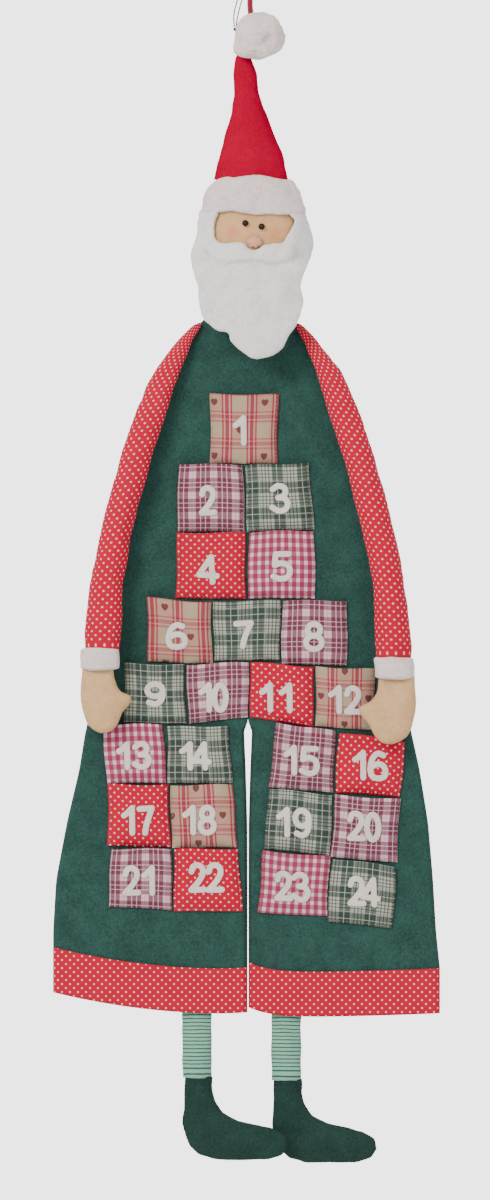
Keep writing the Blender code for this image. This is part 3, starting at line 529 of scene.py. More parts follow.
# %% [markdown]
# ## Knit, beads, ribbon and thread
# The stockings are a fine striped knit, the eyes are glass beads, the ribbon is a flat red braid
# and the loop beside it is a two-ply thread.

# %% Knit, beads, ribbon and thread
STRIPE_PERIOD = 0.0037
STITCHES = 900
STRIPE_WANDER = 0.0008
KNIT_RELIEF = 0.0002
BRAID_SEAM = 0.0009
BRAID_RELIEF = 0.0003
PLY_RELIEF = 0.0002


def striped_knit(name, ground, stripe):
    """Fine jersey: pale rows with a narrow dark row between them, and tiny stitches."""
    finish = Finish(name, Roughness=0.85, Specular_IOR_Level=DULL, Sheen_Weight=0.03)
    along, up = finish.cloth_place()
    wander = (finish.noise(160, detail=2) - 0.5) * STRIPE_WANDER
    dark = abs(((up + wander) / STRIPE_PERIOD).part() - 0.5)
    cover = finish.node("Clamp", (), {0: (0.21 - dark) / 0.12})
    finish.feed("Base Color", worn(finish, finish.mix(cover, ground, stripe)))
    ribs = abs((along * STITCHES).part() - 0.5)
    rows = abs((up * STITCHES).part() - 0.5)
    finish.feed("Normal", finish.bump(ribs + rows, KNIT_RELIEF, 0.8))
    return finish.material


def glass_bead(name, colour):
    """A dark glass bead with faint clouds in it."""
    finish = Finish(name, Roughness=0.4, Specular_IOR_Level=0.12)
    clouds = finish.noise(900, detail=2)
    finish.feed("Base Color", finish.shade(finish.mix(0, colour, colour), 0.6 + clouds * 0.8))
    return finish.material


def braid(name, colour, groove_shade):
    """A narrow braid of slanted strands, with painted shade: darker along the middle line where they meet and
    between the strands, where the bump is low.
    """
    finish = Finish(name, Roughness=0.55, Specular_IOR_Level=0.2, Sheen_Weight=0.05)
    along, up = finish.cloth_place()
    slant = abs((up * 700 + abs(along) * 500).part() - 0.5)
    middle = finish.node("Clamp", (), {0: abs(along) / BRAID_SEAM})
    # painted shade: the second colour fills the middle groove and the low sides of the strands
    finish.feed("Base Color", finish.mix(middle * (0.45 + slant), groove_shade, colour))
    finish.feed("Normal", finish.bump(slant + middle, BRAID_RELIEF, 0.9))
    return finish.material


def plied_thread(name, colour, light):
    """Twisted thread with a few paler fibres."""
    finish = Finish(name, Roughness=0.6, Specular_IOR_Level=0.2, Sheen_Weight=0.05)
    fibres = finish.noise(1800, detail=2, roughness=0.7)
    share = finish.node("Clamp", (), {0: (fibres - 0.4) * 2})
    finish.feed("Base Color", finish.mix(share, colour, light))
    finish.feed("Normal", finish.bump(fibres, PLY_RELIEF, 0.8))
    return finish.material


mint_knit = striped_knit("mint_knit", paint(153, 208, 177), paint(42, 100, 82))
black_bead = glass_bead("bead_glass", paint(46, 26, 14))
# The braid's second colour is its painted shade.
red_braid = braid("ribbon_braid", paint(206, 4, 48), paint(96, 4, 26))
dark_thread = plied_thread("loop_thread", paint(66, 8, 22), paint(128, 36, 42))
seam_thread = plied_thread("seam_thread", paint(176, 150, 140), paint(232, 214, 204))
print("finishes in all:", len(bpy.data.materials))

# %% [markdown]
# ## The thread loop comes first
# Beside the ribbon a thin two-ply thread also goes over the nail, and both its ends go into one
# knot. A cord has one real length, so it is laid on the solid's own route, which is repeated
# here. Two lobes that turn as they run along that line make the twist that a plain tube lacks.

# %% Pieces from points


def add_piece(name, points, faces, finish, body, spread=None):
    """Make one smooth piece of points in metres, which rides on a body when one is given."""
    form = bpy.data.meshes.new(name)
    form.from_pydata([tuple(point) for point in points], [], faces)
    form.materials.append(finish)
    form.polygons.foreach_set("use_smooth", [True] * len(form.polygons))
    if spread is not None:
        corners = np.empty(len(form.loops), dtype=int)
        form.loops.foreach_get("vertex_index", corners)
        cloth_map = form.uv_layers.new(name=CLOTH_MAP)
        cloth_map.data.foreach_set("uv", np.asarray(spread, dtype=float)[corners].ravel())
    piece = bpy.data.objects.new(name, form)
    bpy.context.scene.collection.objects.link(piece)
    if body is not None:
        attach(piece, body)
    return piece


def quads(rows, columns, closed=False):
    """Return the faces of a grid of points, closed round its columns or not."""
    faces = []
    for row in range(rows - 1):
        for column in range(columns if closed else columns - 1):
            after = (column + 1) % columns
            below = (row + 1) * columns
            faces.append((row * columns + column, row * columns + after, below + after, below + column))
    return faces


def eased(values, passes):
    """Smooth rows of values along their length; the ends stay."""
    values = np.array(values, dtype=float)
    for _ in range(passes):
        values[1:-1] = values[:-2] / 4 + values[1:-1] / 2 + values[2:] / 4
    return values


def smooth_route(points, steps):
    """Run one smooth curve through points."""
    points = np.array(points, dtype=float)
    padded = np.vstack([2 * points[0] - points[1], points, 2 * points[-1] - points[-2]])
    route = []
    for before, start, end, after in zip(padded, padded[1:], padded[2:], padded[3:]):
        for step in range(steps):
            t = step / steps
            pull = (end - before) * t + (2 * before - 5 * start + 4 * end - after) * t**2
            swing = (3 * start - before - 3 * end + after) * t**3
            route.append(start + (pull + swing) / 2)
    return np.array(route + [points[-1]])


# %% Thread loop
THREAD_DIAMETER = 0.0014
THREAD_Y = -0.0036
THREAD_STEPS = 4
THREAD_RINGS_PER_METRE = 3000
THREAD_SIDES = 12
TWIST_PITCH = 0.0034
PLY_SHARE = 0.28
THREAD_ROUTE = (
    (-0.0156, 0.0572),
    (-0.0162, 0.0500),
    (-0.0157, 0.0420),
    (-0.0126, 0.0300),
    (-0.0078, 0.0150),
    (-0.0034, 0.0030),
    (-0.0018, -0.0014),
    (0.0004, -0.0027),
    (0.0022, -0.0012),
    (0.0016, 0.0040),
    (-0.0022, 0.0150),
    (-0.0081, 0.0300),
    (-0.0113, 0.0420),
    (-0.0130, 0.0500),
    (-0.0140, 0.0572),
)


def lengths_along(route):
    """Return how far along a route each of its points lies."""
    steps = np.linalg.norm(np.diff(route, axis=0), axis=1)
    return np.concatenate([[0], np.cumsum(steps)])


def twisted_thread(name, route, diameter):
    """Two plies twisted round one line, as a closed tube of two turning lobes."""
    along = lengths_along(route)
    count = int(along[-1] * THREAD_RINGS_PER_METRE)
    places = np.linspace(0, along[-1], count)
    fine = np.column_stack([np.interp(places, along, route[:, way]) for way in range(3)])
    ways = np.gradient(fine, axis=0)
    ways /= np.linalg.norm(ways, axis=1, keepdims=True)
    side = np.cross(ways, (0, 1, 0))
    side /= np.linalg.norm(side, axis=1, keepdims=True)
    front = np.cross(side, ways)
    points = []
    for centre, across, out, place in zip(fine, side, front, places):
        twist = 2 * math.pi * place / TWIST_PITCH
        for step in range(THREAD_SIDES):
            turn = 2 * math.pi * step / THREAD_SIDES
            reach = diameter / 2 * (1 - PLY_SHARE * math.sin(turn - twist) ** 2)
            points.append(centre + reach * (math.cos(turn) * across + math.sin(turn) * out))
    faces = quads(count, THREAD_SIDES, closed=True)
    faces.append(tuple(range(THREAD_SIDES))[::-1])
    faces.append(tuple(range((count - 1) * THREAD_SIDES, count * THREAD_SIDES)))
    piece = add_piece(name, points, faces, dark_thread, "hanger")
    return piece, fine


flat_route = smooth_route(THREAD_ROUTE, THREAD_STEPS)
thread_route = np.column_stack([flat_route[:, 0], np.full(len(flat_route), THREAD_Y), -flat_route[:, 1]])
thread_loop, fine_route = twisted_thread("looped_thread", thread_route, THREAD_DIAMETER)
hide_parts("thread_loop")

# %% [markdown]
# ## Reading a solid
# Most stuffed pieces keep the solid's form but need a finer skin. Two ways serve here. A piece
# with a print needs a map of its cloth, so its level rings are read from the solid and skinned
# again with many more rings. A piece without a print is remeshed in small cells and smoothed.
# Both then get the lumps and puckers that stuffing makes, as small moves along the surface.

# %% Readers and skins
RING_GRID = 0.0004


def node_points(node):
    """Return a solid's points."""
    form = nodes[node].data
    points = np.empty(len(form.vertices) * 3)
    form.vertices.foreach_get("co", points)
    return points.reshape(-1, 3)


def level_rings(node):
    """Return a solid's level rings from the top: middle x and y, z, half width and half depth."""
    points = node_points(node)
    levels = np.round(points[:, 2] / RING_GRID)
    rings = []
    for level in sorted(set(levels), reverse=True):
        ring = points[levels == level]
        low, high = ring.min(axis=0), ring.max(axis=0)
        middle = (low + high) / 2
        rings.append((middle[0], middle[1], middle[2], (high[0] - low[0]) / 2, (high[1] - low[1]) / 2))
    return np.array(rings)


def finer_rings(rings, apart, passes=6):
    """Set rings evenly along the solid's length, with soft changes between them."""
    along = lengths_along(rings[:, :3])
    count = max(int(along[-1] / apart), 8)
    places = np.linspace(0, along[-1], count)
    fine = np.column_stack([np.interp(places, along, rings[:, part]) for part in range(5)])
    return places, eased(fine, passes)


def round_ends(places, top, bottom):
    """Return how wide each ring is, so that a tube closes in a round end of a given length."""
    width = np.ones(len(places))
    for distance, length in ((places, top), (places[-1] - places, bottom)):
        if length:
            near = np.clip(distance / length, 0, 1)
            width *= np.sqrt(1 - (1 - near) ** 2)
    return width


def stuffed_tube(name, node, finish, body, apart, sides, top, bottom, passes, fuller=0):
    """Skin a solid's rings again as a fine closed tube with a map of its cloth."""
    places, rings = finer_rings(level_rings(node), apart, passes)
    rings[:, 3:] += fuller
    widths = round_ends(places, top, bottom)
    points = []
    spread = []
    turns = np.linspace(0, 2 * math.pi, sides, endpoint=False)
    girth = 2 * math.pi * np.sqrt((rings[:, 3] ** 2 + rings[:, 4] ** 2) / 2).max()
    for place, width, (x, y, z, half_width, half_depth) in zip(places, widths, rings):
        for turn in turns:
            out = width * half_width * math.sin(turn)
            deep = width * half_depth * math.cos(turn)
            points.append((x + out, y + deep, z))
            spread.append((turn / (2 * math.pi) * girth, -place))
    faces = quads(len(places), sides, closed=True)
    faces.append(tuple(range(sides)))
    faces.append(tuple(range((len(places) - 1) * sides, len(places) * sides))[::-1])
    piece = add_piece(name, points, faces, finish, body, spread)
    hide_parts(node)
    return piece


FORM_WELD = 0.00001


def stuffed_form(name, node, finish, body, cell, smoothing):
    """Remesh a copy of a solid in small cells and smooth its corners away."""
    copy = bpy.data.objects.new(name + "_form", nodes[node].data.copy())
    bpy.context.scene.collection.objects.link(copy)
    weld = copy.modifiers.new("weld", "WELD")
    weld.merge_threshold = FORM_WELD
    remesh = copy.modifiers.new("remesh", "REMESH")
    remesh.mode = "VOXEL"
    remesh.voxel_size = cell
    soften = copy.modifiers.new("soften", "SMOOTH")
    soften.iterations = smoothing
    bpy.context.view_layer.update()
    ready = copy.evaluated_get(bpy.context.evaluated_depsgraph_get())
    form = bpy.data.meshes.new_from_object(ready)
    bpy.data.objects.remove(copy)
    form.name = name
    form.materials.clear()
    form.materials.append(finish)
    form.polygons.foreach_set("use_smooth", [True] * len(form.polygons))
    piece = bpy.data.objects.new(name, form)
    bpy.context.scene.collection.objects.link(piece)
    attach(piece, body)
    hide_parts(node)
    return piece


def points_of(piece):
    """Return a piece's points and the ways that its surface faces."""
    form = piece.data
    points = np.empty(len(form.vertices) * 3)
    form.vertices.foreach_get("co", points)
    facing = np.empty(len(form.vertices) * 3)
    form.vertices.foreach_get("normal", facing)
    return points.reshape(-1, 3), facing.reshape(-1, 3)


def move_points(piece, points):
    """Give a piece's points their new places."""
    piece.data.vertices.foreach_set("co", np.asarray(points, dtype=float).ravel())
    piece.data.update()


def rumple(piece, depth, lump, seed=0, stretch=(1, 1, 1), where=None, inward=False):
    """Move a surface in and out by lumps; a pair named FOLDS holds their depth and their size."""
    points, facing = points_of(piece)
    scale = np.array(stretch) / lump
    lift = np.array([noise.noise(Vector(point * scale + seed)) for point in points]) * depth
    if inward:
        lift = (lift - depth) / 2
    if where is not None:
        lift *= where(points)
    move_points(piece, points + facing * lift[:, None])


def crease(piece, line, depth, width):
    """Press a soft seam into a piece along a line of points."""
    points, facing = points_of(piece)
    line = np.array(line, dtype=float)
    nearest = np.full(len(points), np.inf)
    for start, end in zip(line, line[1:]):
        way = end - start
        share = np.clip(((points - start) @ way) / (way @ way), 0, 1)
        nearest = np.minimum(nearest, np.linalg.norm(points - start - share[:, None] * way, axis=1))
    press = depth * np.exp(-((nearest / width) ** 2))
    move_points(piece, points - facing * press[:, None])


def tuck(piece, length, reach, at_top=False):
    """Draw a bag's end out, so that it is held inside the piece that it is sewn to."""
    points, _ = points_of(piece)
    height = points[:, 2]
    if at_top:
        height = -height
    inside = np.clip(1 - (height - height.min()) / reach, 0, 1)
    points[:, 2] += length * inside * (1 if at_top else -1)
    move_points(piece, points)


# %% [markdown]
# ### Stuffing by simulation
# A stuffed bag bulges where nothing holds it and puckers where it is tight. Blender's cloth
# finds that by itself, but its result on a fine printed skin would be slow. So a coarse copy of
# the bag is filled with pressure, while its cloth grows a little, and the fine skin follows the
# copy's moves. The swelling that is the same all over is taken off again, to keep the size.

# %% Stuffing by simulation
BAG_CELL = 0.005
BAG_PRESSURE = 4
BAG_GROWTH = -0.05
BAG_FRAMES = 20
BAG_MOST = 0.003
BAG_NEIGHBOURS = 5


def stuff(piece, most=BAG_MOST, cell=BAG_CELL):
    scene = bpy.context.scene
    bag = bpy.data.objects.new(piece.name + "_bag", piece.data.copy())
    scene.collection.objects.link(bag)
    remesh = bag.modifiers.new("remesh", "REMESH")
    remesh.mode = "VOXEL"
    remesh.voxel_size = cell
    bpy.context.view_layer.update()
    coarse = bpy.data.meshes.new_from_object(bag.evaluated_get(bpy.context.evaluated_depsgraph_get()))
    bag.modifiers.clear()
    bag.data = coarse
    start, facing = points_of(bag)
    cloth = bag.modifiers.new("stuffing", "CLOTH")
    cloth.settings.use_pressure = True
    cloth.settings.uniform_pressure_force = BAG_PRESSURE
    cloth.settings.shrink_min = BAG_GROWTH
    cloth.settings.effector_weights.gravity = 0
    cloth.collision_settings.use_collision = False
    for frame_number in range(1, BAG_FRAMES + 1):
        scene.frame_set(frame_number)
    filled = bag.evaluated_get(bpy.context.evaluated_depsgraph_get()).data
    end = np.empty(len(start) * 3)
    filled.vertices.foreach_get("co", end)
    move = end.reshape(-1, 3) - start
    move -= facing * (move * facing).sum(axis=1).mean()
    move -= move.mean(axis=0)
    far = np.linalg.norm(move, axis=1, keepdims=True)
    move *= np.tanh(far / most) * most / np.maximum(far, most / 1000)
    tree = KDTree(len(start))
    for number, point in enumerate(start):
        tree.insert(point, number)
    tree.balance()
    points, _ = points_of(piece)
    for number, point in enumerate(points):
        found = tree.find_n(point, BAG_NEIGHBOURS)
        weights = np.array([1 / (distance + cell / 10) for _, _, distance in found])
        points[number] += weights @ move[[near for _, near, _ in found]] / weights.sum()
    move_points(piece, points)
    scene.frame_set(1)
    bpy.data.objects.remove(bag)
    print("stuffed", piece.name, "with moves up to", round(float(far.max()), 4), "m")


print("readers and skins are ready")


# %% [markdown]
# ## Shapes cut from a flat sheet
# Beard, whiskers and numbers are cut with scissors, so they start as an outline. A grid of small
# cells is laid over it, and how deep a point lies inside the outline decides everything: cells are
# kept where it is above zero, the outline runs where it is zero, and the thickness grows from
# there, which gives a soft rim.

# %% Depth inside an outline


def depth_in_strokes(spots, lines, radius):
    """Return how deep each spot lies inside round-ended strokes; outside it is below zero."""
    nearest = np.full(spots.shape[:-1], np.inf)
    for line in lines:
        for start, end in zip(line, line[1:]):
            way = end - start
            share = np.clip(((spots - start) @ way) / (way @ way), 0, 1)
            nearest = np.minimum(nearest, np.linalg.norm(spots - start - share[..., None] * way, axis=-1))
    return radius - nearest


def depth_in_outline(spots, outline):
    """Return how deep each spot lies inside a closed outline; outside it is below zero."""
    closed = np.vstack([outline, outline[:1]])
    away = -depth_in_strokes(spots, [closed], 0)
    inside = np.zeros(spots.shape[:-1], dtype=bool)
    for start, end in zip(closed, closed[1:]):
        if start[1] == end[1]:
            continue
        between = (start[1] > spots[..., 1]) != (end[1] > spots[..., 1])
        crossing = start[0] + (spots[..., 1] - start[1]) / (end[1] - start[1]) * (end[0] - start[0])
        inside ^= between & (spots[..., 0] < crossing)
    return np.where(inside, away, -away)


def cut_sheet(depth_at, low, high, cell):
    """Return flat points, how deep they lie, faces up to the outline, and the outline's edges."""
    xs = np.arange(low[0] - cell, high[0] + 2 * cell, cell)
    zs = np.arange(low[1] - cell, high[1] + 2 * cell, cell)
    spots = np.stack(np.meshgrid(xs, zs), axis=-1)
    depth = depth_at(spots)
    inside = depth > 0
    points, depths, known = [], [], {}

    def spot(key, place, deep):
        if key not in known:
            known[key] = len(points)
            points.append(place)
            depths.append(deep)
        return known[key]

    faces, rim = [], []
    for row, column in np.argwhere(inside[:-1, :-1] | inside[1:, :-1] | inside[:-1, 1:] | inside[1:, 1:]):
        corners = ((row, column), (row, column + 1), (row + 1, column + 1), (row + 1, column))
        face, cut = [], []
        for corner, after in zip(corners, corners[1:] + corners[:1]):
            if inside[corner]:
                face.append(spot(corner, spots[corner], depth[corner]))
                cut.append(False)
            if inside[corner] != inside[after]:
                share = depth[corner] / (depth[corner] - depth[after])
                place = spots[corner] + share * (spots[after] - spots[corner])
                face.append(spot(frozenset((corner, after)), place, 0))
                cut.append(True)
        if len(face) > 2:
            faces.append(tuple(face))
            for step in range(len(face)):
                after = (step + 1) % len(face)
                if cut[step] and cut[after]:
                    rim.append((face[step], face[after]))
    return np.array(points), np.array(depths), faces, rim


def thick_cut(name, flat, faces, rim, front, back, finish, body):
    """Make a closed piece of a cut sheet from the y of its front and back at every point."""
    count = len(flat)
    top = np.column_stack([flat[:, 0], front, flat[:, 1]])
    bottom = np.column_stack([flat[:, 0], back, flat[:, 1]])
    whole = list(faces) + [tuple(count + corner for corner in face[::-1]) for face in faces]
    whole += [(end, start, count + start, count + end) for start, end in rim]
    return add_piece(name, np.vstack([top, bottom]), whole, finish, body)


print("cutting is ready")

# %% [markdown]
# ## Knot and ribbon
# The thread's two ends are tied in one round knot, and its tail goes down to the hat. The ribbon
# is a flat braid: sewn into an eye for the nail, it turns flat below the eye and runs down behind
# the hat's tip. A strip with its own width and thickness follows each of these lines.

# %% Knot
KNOT_TURNS = 7
KNOT_CELL = 0.00028
WINDING_PITCH = 0.0045
WINDING_DEPTH = 0.0002
knot = stuffed_form(
    "thread_knot_tied", "thread_knot", dark_thread, "hanger", KNOT_CELL, 4
)


def wind(points):
    """Press the winding of the thread into the knot."""
    low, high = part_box("thread_knot")
    turns = KNOT_TURNS * 2 * math.pi / WINDING_PITCH
    slant = (points[:, 0] - low[0]) * 0.6
    return 0.5 + 0.5 * np.sin((points[:, 2] + slant) * turns)


points, facing = points_of(knot)
move_points(knot, points - facing * (wind(points) * WINDING_DEPTH)[:, None])

# %% Ribbon
RIBBON_WIDTH = 0.0056
RIBBON_THICKNESS = 0.0008
EYE_WIDTH = 0.011
EYE_HEIGHT = 0.020
EYE_TAPER_SHARE = 0.3
EYE_STEPS = 64
STRAND_STEPS = 60
RIBBON_BEND_DROP = 0.050
RIBBON_END_DROP = 0.098
HAT_TIP_ACROSS = -0.007
STRIP_EDGE_SHARES = (
    (-1, 0), (-0.96, 0.75), (-0.8, 1), (-0.15, 1),
    (0, 0.7), (0.15, 1), (0.8, 1), (0.96, 0.75),
)


def strip(name, line, widths, finish, body, closed=False):
    """Lay a flat braid along a line; widths are the half-width ways at its points."""
    line = np.array(line)
    widths = np.array(widths)
    ways = np.gradient(line, axis=0)
    if closed:
        ways = np.roll(line, -1, axis=0) - np.roll(line, 1, axis=0)
    ways /= np.linalg.norm(ways, axis=1, keepdims=True)
    outward = np.cross(ways, widths)
    outward /= np.linalg.norm(outward, axis=1, keepdims=True)
    section = list(STRIP_EDGE_SHARES) + [(-across, -lift) for across, lift in STRIP_EDGE_SHARES]
    along = lengths_along(line)
    points = []
    spread = []
    for centre, half, out, place in zip(line, widths, outward, along):
        for across, lift in section:
            points.append(centre + across * half + lift * out * RIBBON_THICKNESS / 2)
            spread.append((across * RIBBON_WIDTH / 2, -place))
    rows = len(line)
    faces = quads(rows, len(section), closed=True)
    if closed:
        last = (rows - 1) * len(section)
        for step in range(len(section)):
            after = (step + 1) % len(section)
            faces.append((last + step, last + after, after, step))
    else:
        faces.append(tuple(range(len(section)))[::-1])
        faces.append(tuple(range((rows - 1) * len(section), rows * len(section))))
    return add_piece(name, points, faces, finish, body, spread)


eye_line = []
for step in range(EYE_STEPS):
    turn = 2 * math.pi * step / EYE_STEPS
    half_width = (EYE_WIDTH + RIBBON_THICKNESS) / 2 * (1 - EYE_TAPER_SHARE * math.cos(turn))
    half_height = (EYE_HEIGHT + RIBBON_THICKNESS) / 2
    eye_line.append((half_width * math.sin(turn), 0, -EYE_HEIGHT / 2 - half_height * math.cos(turn)))
ribbon_eye = strip(
    "ribbon_eye", eye_line, [(0, RIBBON_WIDTH / 2, 0)] * EYE_STEPS, red_braid, "hanger", True
)
strand_route = smooth_route(
    (
        (0, EYE_HEIGHT),
        (0, (EYE_HEIGHT + RIBBON_BEND_DROP) / 2),
        (0, RIBBON_BEND_DROP),
        (HAT_TIP_ACROSS, RIBBON_END_DROP),
    ),
    STRAND_STEPS // 3,
)
strand_line = [(across, 0, -drop) for across, drop in strand_route]
ribbon = strip(
    "ribbon_strand",
    strand_line,
    [(RIBBON_WIDTH / 2, 0, 0)] * len(strand_line),
    red_braid,
    "hanger",
)
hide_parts("hanging_ribbon")
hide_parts("hanging_ribbon")
print("ribbon and knot are made")

# %% [markdown]
# ## Hat, pompom and brim
# The hat is a cone of red felt, stuffed a little and bent. Its pompom is a ball of fleece, drawn
# in by a few stitches that leave dimples. The brim is a padded fleece roll, open above and below,
# so it is skinned round a rounded section and not as a plain tube.

# %% Hat
HAT_RING_GAP = 0.0012
HAT_SOFT_FOLDS = (0.0012, 0.034)
HAT_FINE_FOLDS = (0.0006, 0.010)
HAT_TIP_ROUND = 0.0035
HAT_FOOT_ROUND = 0.0012
HAT_TUCK = 0.004
HAT_TUCK_FROM = 0.006
hat = stuffed_tube(
    "red_hat",
    "hat_cone",
    hat_felt,
    "doll",
    HAT_RING_GAP,
    72,
    HAT_TIP_ROUND,
    HAT_FOOT_ROUND,
    2,
)
stuff(hat)
rumple(hat, *HAT_SOFT_FOLDS, 3, (1, 1, 1.6))
rumple(hat, *HAT_FINE_FOLDS, 5)
tuck(hat, HAT_TUCK, HAT_TUCK_FROM)

# %% Pompom
POMPOM_ROWS = 72
POMPOM_SIDES = 96
POMPOM_SOFT_FOLDS = (0.0034, 0.017)
POMPOM_FINE_FOLDS = (0.0009, 0.005)
DIMPLE_LENGTH = 0.0015
# Its foot is drawn over the hat's tip, down and to the left
LOBE_WAY = (-0.84, -0.10, -0.54)
LOBE_RISE = 0.0066
LOBE_SHARPNESS = 6
DIMPLE_WIDTH = 0.0052
DIMPLES = (
    (-0.45, -0.80, 0.30, 0.0034),
    (0.30, -0.88, -0.25, 0.0038),
    (0.05, -0.75, 0.65, 0.0024),
    (-0.75, -0.45, -0.35, 0.0026),
    (0.85, -0.30, 0.25, 0.0030),
    (-0.15, -0.62, -0.75, 0.0026),
    (0.50, 0.70, 0.40, 0.0030),
    (-0.55, 0.60, -0.20, 0.0030),
)


POLE_WELD = 0.000001


def ball(name, node, finish, body, rows, sides, depth_share=1.0):
    """Make a fine ball that fills a solid's box."""
    low, high = (np.array(corner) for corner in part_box(node))
    middle, half = (low + high) / 2, (high - low) / 2
    points = []
    for tilt in np.linspace(0, math.pi, rows):
        for turn in np.linspace(0, 2 * math.pi, sides, endpoint=False):
            way = np.array([math.sin(tilt) * math.sin(turn), math.sin(tilt) * math.cos(turn), math.cos(tilt)])
            points.append(middle + half * way)
    faces = quads(rows, sides, closed=True)
    piece = add_piece(name, points, faces, finish, body)
    ready = bmesh.new()
    ready.from_mesh(piece.data)
    bmesh.ops.remove_doubles(ready, verts=ready.verts, dist=POLE_WELD)
    bmesh.ops.recalc_face_normals(ready, faces=ready.faces)
    ready.to_mesh(piece.data)
    ready.free()
    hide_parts(node)
    return piece, middle, half


pompom, pompom_middle, pompom_half = ball(
    "fleece_pompom", "pompom", white_fleece, "doll", POMPOM_ROWS, POMPOM_SIDES
)
points, _ = points_of(pompom)
ways = (points - pompom_middle) / pompom_half
lobe_way = np.array(LOBE_WAY) / np.linalg.norm(LOBE_WAY)
along = np.clip(ways @ lobe_way / np.linalg.norm(ways, axis=1), 0, 1)
move_points(pompom, points + (along**LOBE_SHARPNESS)[:, None] * lobe_way * LOBE_RISE)
rumple(pompom, *POMPOM_SOFT_FOLDS, 11)
rumple(pompom, *POMPOM_FINE_FOLDS, 12)
for *way, depth in DIMPLES:
    spot = pompom_middle + pompom_half * np.array(way) / np.linalg.norm(way)
    crease(pompom, (spot, spot + DIMPLE_LENGTH), depth, DIMPLE_WIDTH)

# %% Brim
BRIM_WALL = 0.006
BRIM_SIDES = 120
BRIM_ROWS = 18
BRIM_ROLL_STEPS = 6


def band_section(height):
    """Return the rounded section of a padded band: how far down and how far in, in metres."""
    half = BRIM_WALL / 2
    flat = np.linspace(half, height - half, BRIM_ROWS)
    roll = np.linspace(0, math.pi, BRIM_ROLL_STEPS + 2)[1:-1]
    outer = [(down, 0) for down in flat]
    foot = [(height - half + half * math.sin(turn), half - half * math.cos(turn)) for turn in roll]
    inner = [(down, BRIM_WALL) for down in flat[::-1]]
    head = [(half - half * math.sin(turn), half + half * math.cos(turn)) for turn in roll]
    return outer + foot + inner + head


BRIM_ARCH = 0.0038
BRIM_SET_DOWN = 0.0028
BRIM_SOFT_FOLDS = (0.0022, 0.020)
BRIM_FINE_FOLDS = (0.0007, 0.006)
# Across the brim from its middle, how far its lower edge hangs down over the face
BRIM_SAG = (
    (-0.053, 0.0),
    (-0.032, -0.0012),
    (-0.019, -0.0024),
    (-0.009, -0.0004),
    (0.0027, 0.0030),
    (0.019, 0.0012),
    (0.037, 0.0010),
    (0.053, 0.0),
)
brim_sag = np.array(BRIM_SAG)
brim_rings = level_rings("hat_brim")
brim_top, brim_height = brim_rings[0, 2], brim_rings[0, 2] - brim_rings[-1, 2]
section = band_section(brim_height)
points = []
for down, inward in section:
    z = brim_top - down
    x, y, half_width, half_depth = (
        np.interp(-z, -brim_rings[:, 2], brim_rings[:, part]) for part in (0, 1, 3, 4)
    )
    for turn in np.linspace(0, 2 * math.pi, BRIM_SIDES, endpoint=False):
        out = (half_width - inward) * math.sin(turn)
        front = max(-math.cos(turn), 0)
        arch = (BRIM_ARCH * math.cos(turn) ** 2 - BRIM_SET_DOWN) * (1 - down / brim_height) ** 2
        sag = np.interp(out, brim_sag[:, 0], brim_sag[:, 1]) * (down / brim_height) ** 2 * front
        points.append((x + out, y + (half_depth - inward) * math.cos(turn), z + arch - sag))
faces = quads(len(section), BRIM_SIDES, closed=True)
last = (len(section) - 1) * BRIM_SIDES
for step in range(BRIM_SIDES):
    after = (step + 1) % BRIM_SIDES
    faces.append((last + step, last + after, after, step))
brim = add_piece("fleece_brim", points, faces, white_fleece, "doll")
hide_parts("hat_brim")
rumple(brim, *BRIM_SOFT_FOLDS, 21)
rumple(brim, *BRIM_FINE_FOLDS, 22)
print("hat, pompom and brim are made")

# %% [markdown]
# ## Head, face and whiskers
# The head is a stuffed calico bag. Two glass beads are its eyes, and the nose is a small gathered
# bag with stitches that wrinkle it. The whiskers and the beard are soft fleece round the face.

# %% Head
FACE_FULLNESS = 0.0010
# The neck is pinched flat, and its foot is sewn in between the garment's two layers.
HEAD_TUCK = 0.009
NECK_SEAM_Y = 0.0022
NECK_PINCH_SHARE = 0.15
NECK_PINCH_HEIGHT = 0.014
HEAD_RING_GAP = 0.0018
HEAD_TOP_ROUND = 0.004
HEAD_FOOT_ROUND = 0.002
HEAD_FOLDS = (0.0006, 0.030)
head = stuffed_tube(
    "calico_head",
    "head",
    face_calico,
    "doll",
    HEAD_RING_GAP,
    72,
    HEAD_TOP_ROUND,
    HEAD_FOOT_ROUND,
    2,
    FACE_FULLNESS,
)
rumple(head, *HEAD_FOLDS, 31)
neck_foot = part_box("head")[0][2]
tuck(head, HEAD_TUCK, HEAD_TUCK)
points, _ = points_of(head)
near_foot = np.clip(1 - (points[:, 2] - neck_foot) / NECK_PINCH_HEIGHT, 0, 1)
pinch = 1 - (1 - NECK_PINCH_SHARE) * near_foot * near_foot * (3 - 2 * near_foot)
points[:, 1] = NECK_SEAM_Y + (points[:, 1] - NECK_SEAM_Y) * pinch
move_points(head, points)
for side in ("left", "right"):
    bead, _, _ = ball(side + "_bead", side + "_eye", black_bead, "doll", 20, 28)
nose, nose_middle, nose_half = ball("gathered_nose", "nose", nose_calico, "doll", 40, 56)
NOSE_FOLDS = 7
NOSE_FOLD_DEPTH = 0.0009
NOSE_SPREAD = 1.25
points, facing = points_of(nose)
points[:, 0] = nose_middle[0] + (points[:, 0] - nose_middle[0]) * NOSE_SPREAD
turns = np.arctan2(points[:, 2] - nose_middle[2], points[:, 0] - nose_middle[0])
edge = np.clip(np.hypot(points[:, 2] - nose_middle[2], points[:, 0] - nose_middle[0]) / nose_half[0], 0, 1)
folds = 0.5 + 0.5 * np.cos(turns * NOSE_FOLDS)
move_points(nose, points - facing * (NOSE_FOLD_DEPTH * folds * edge**2)[:, None])
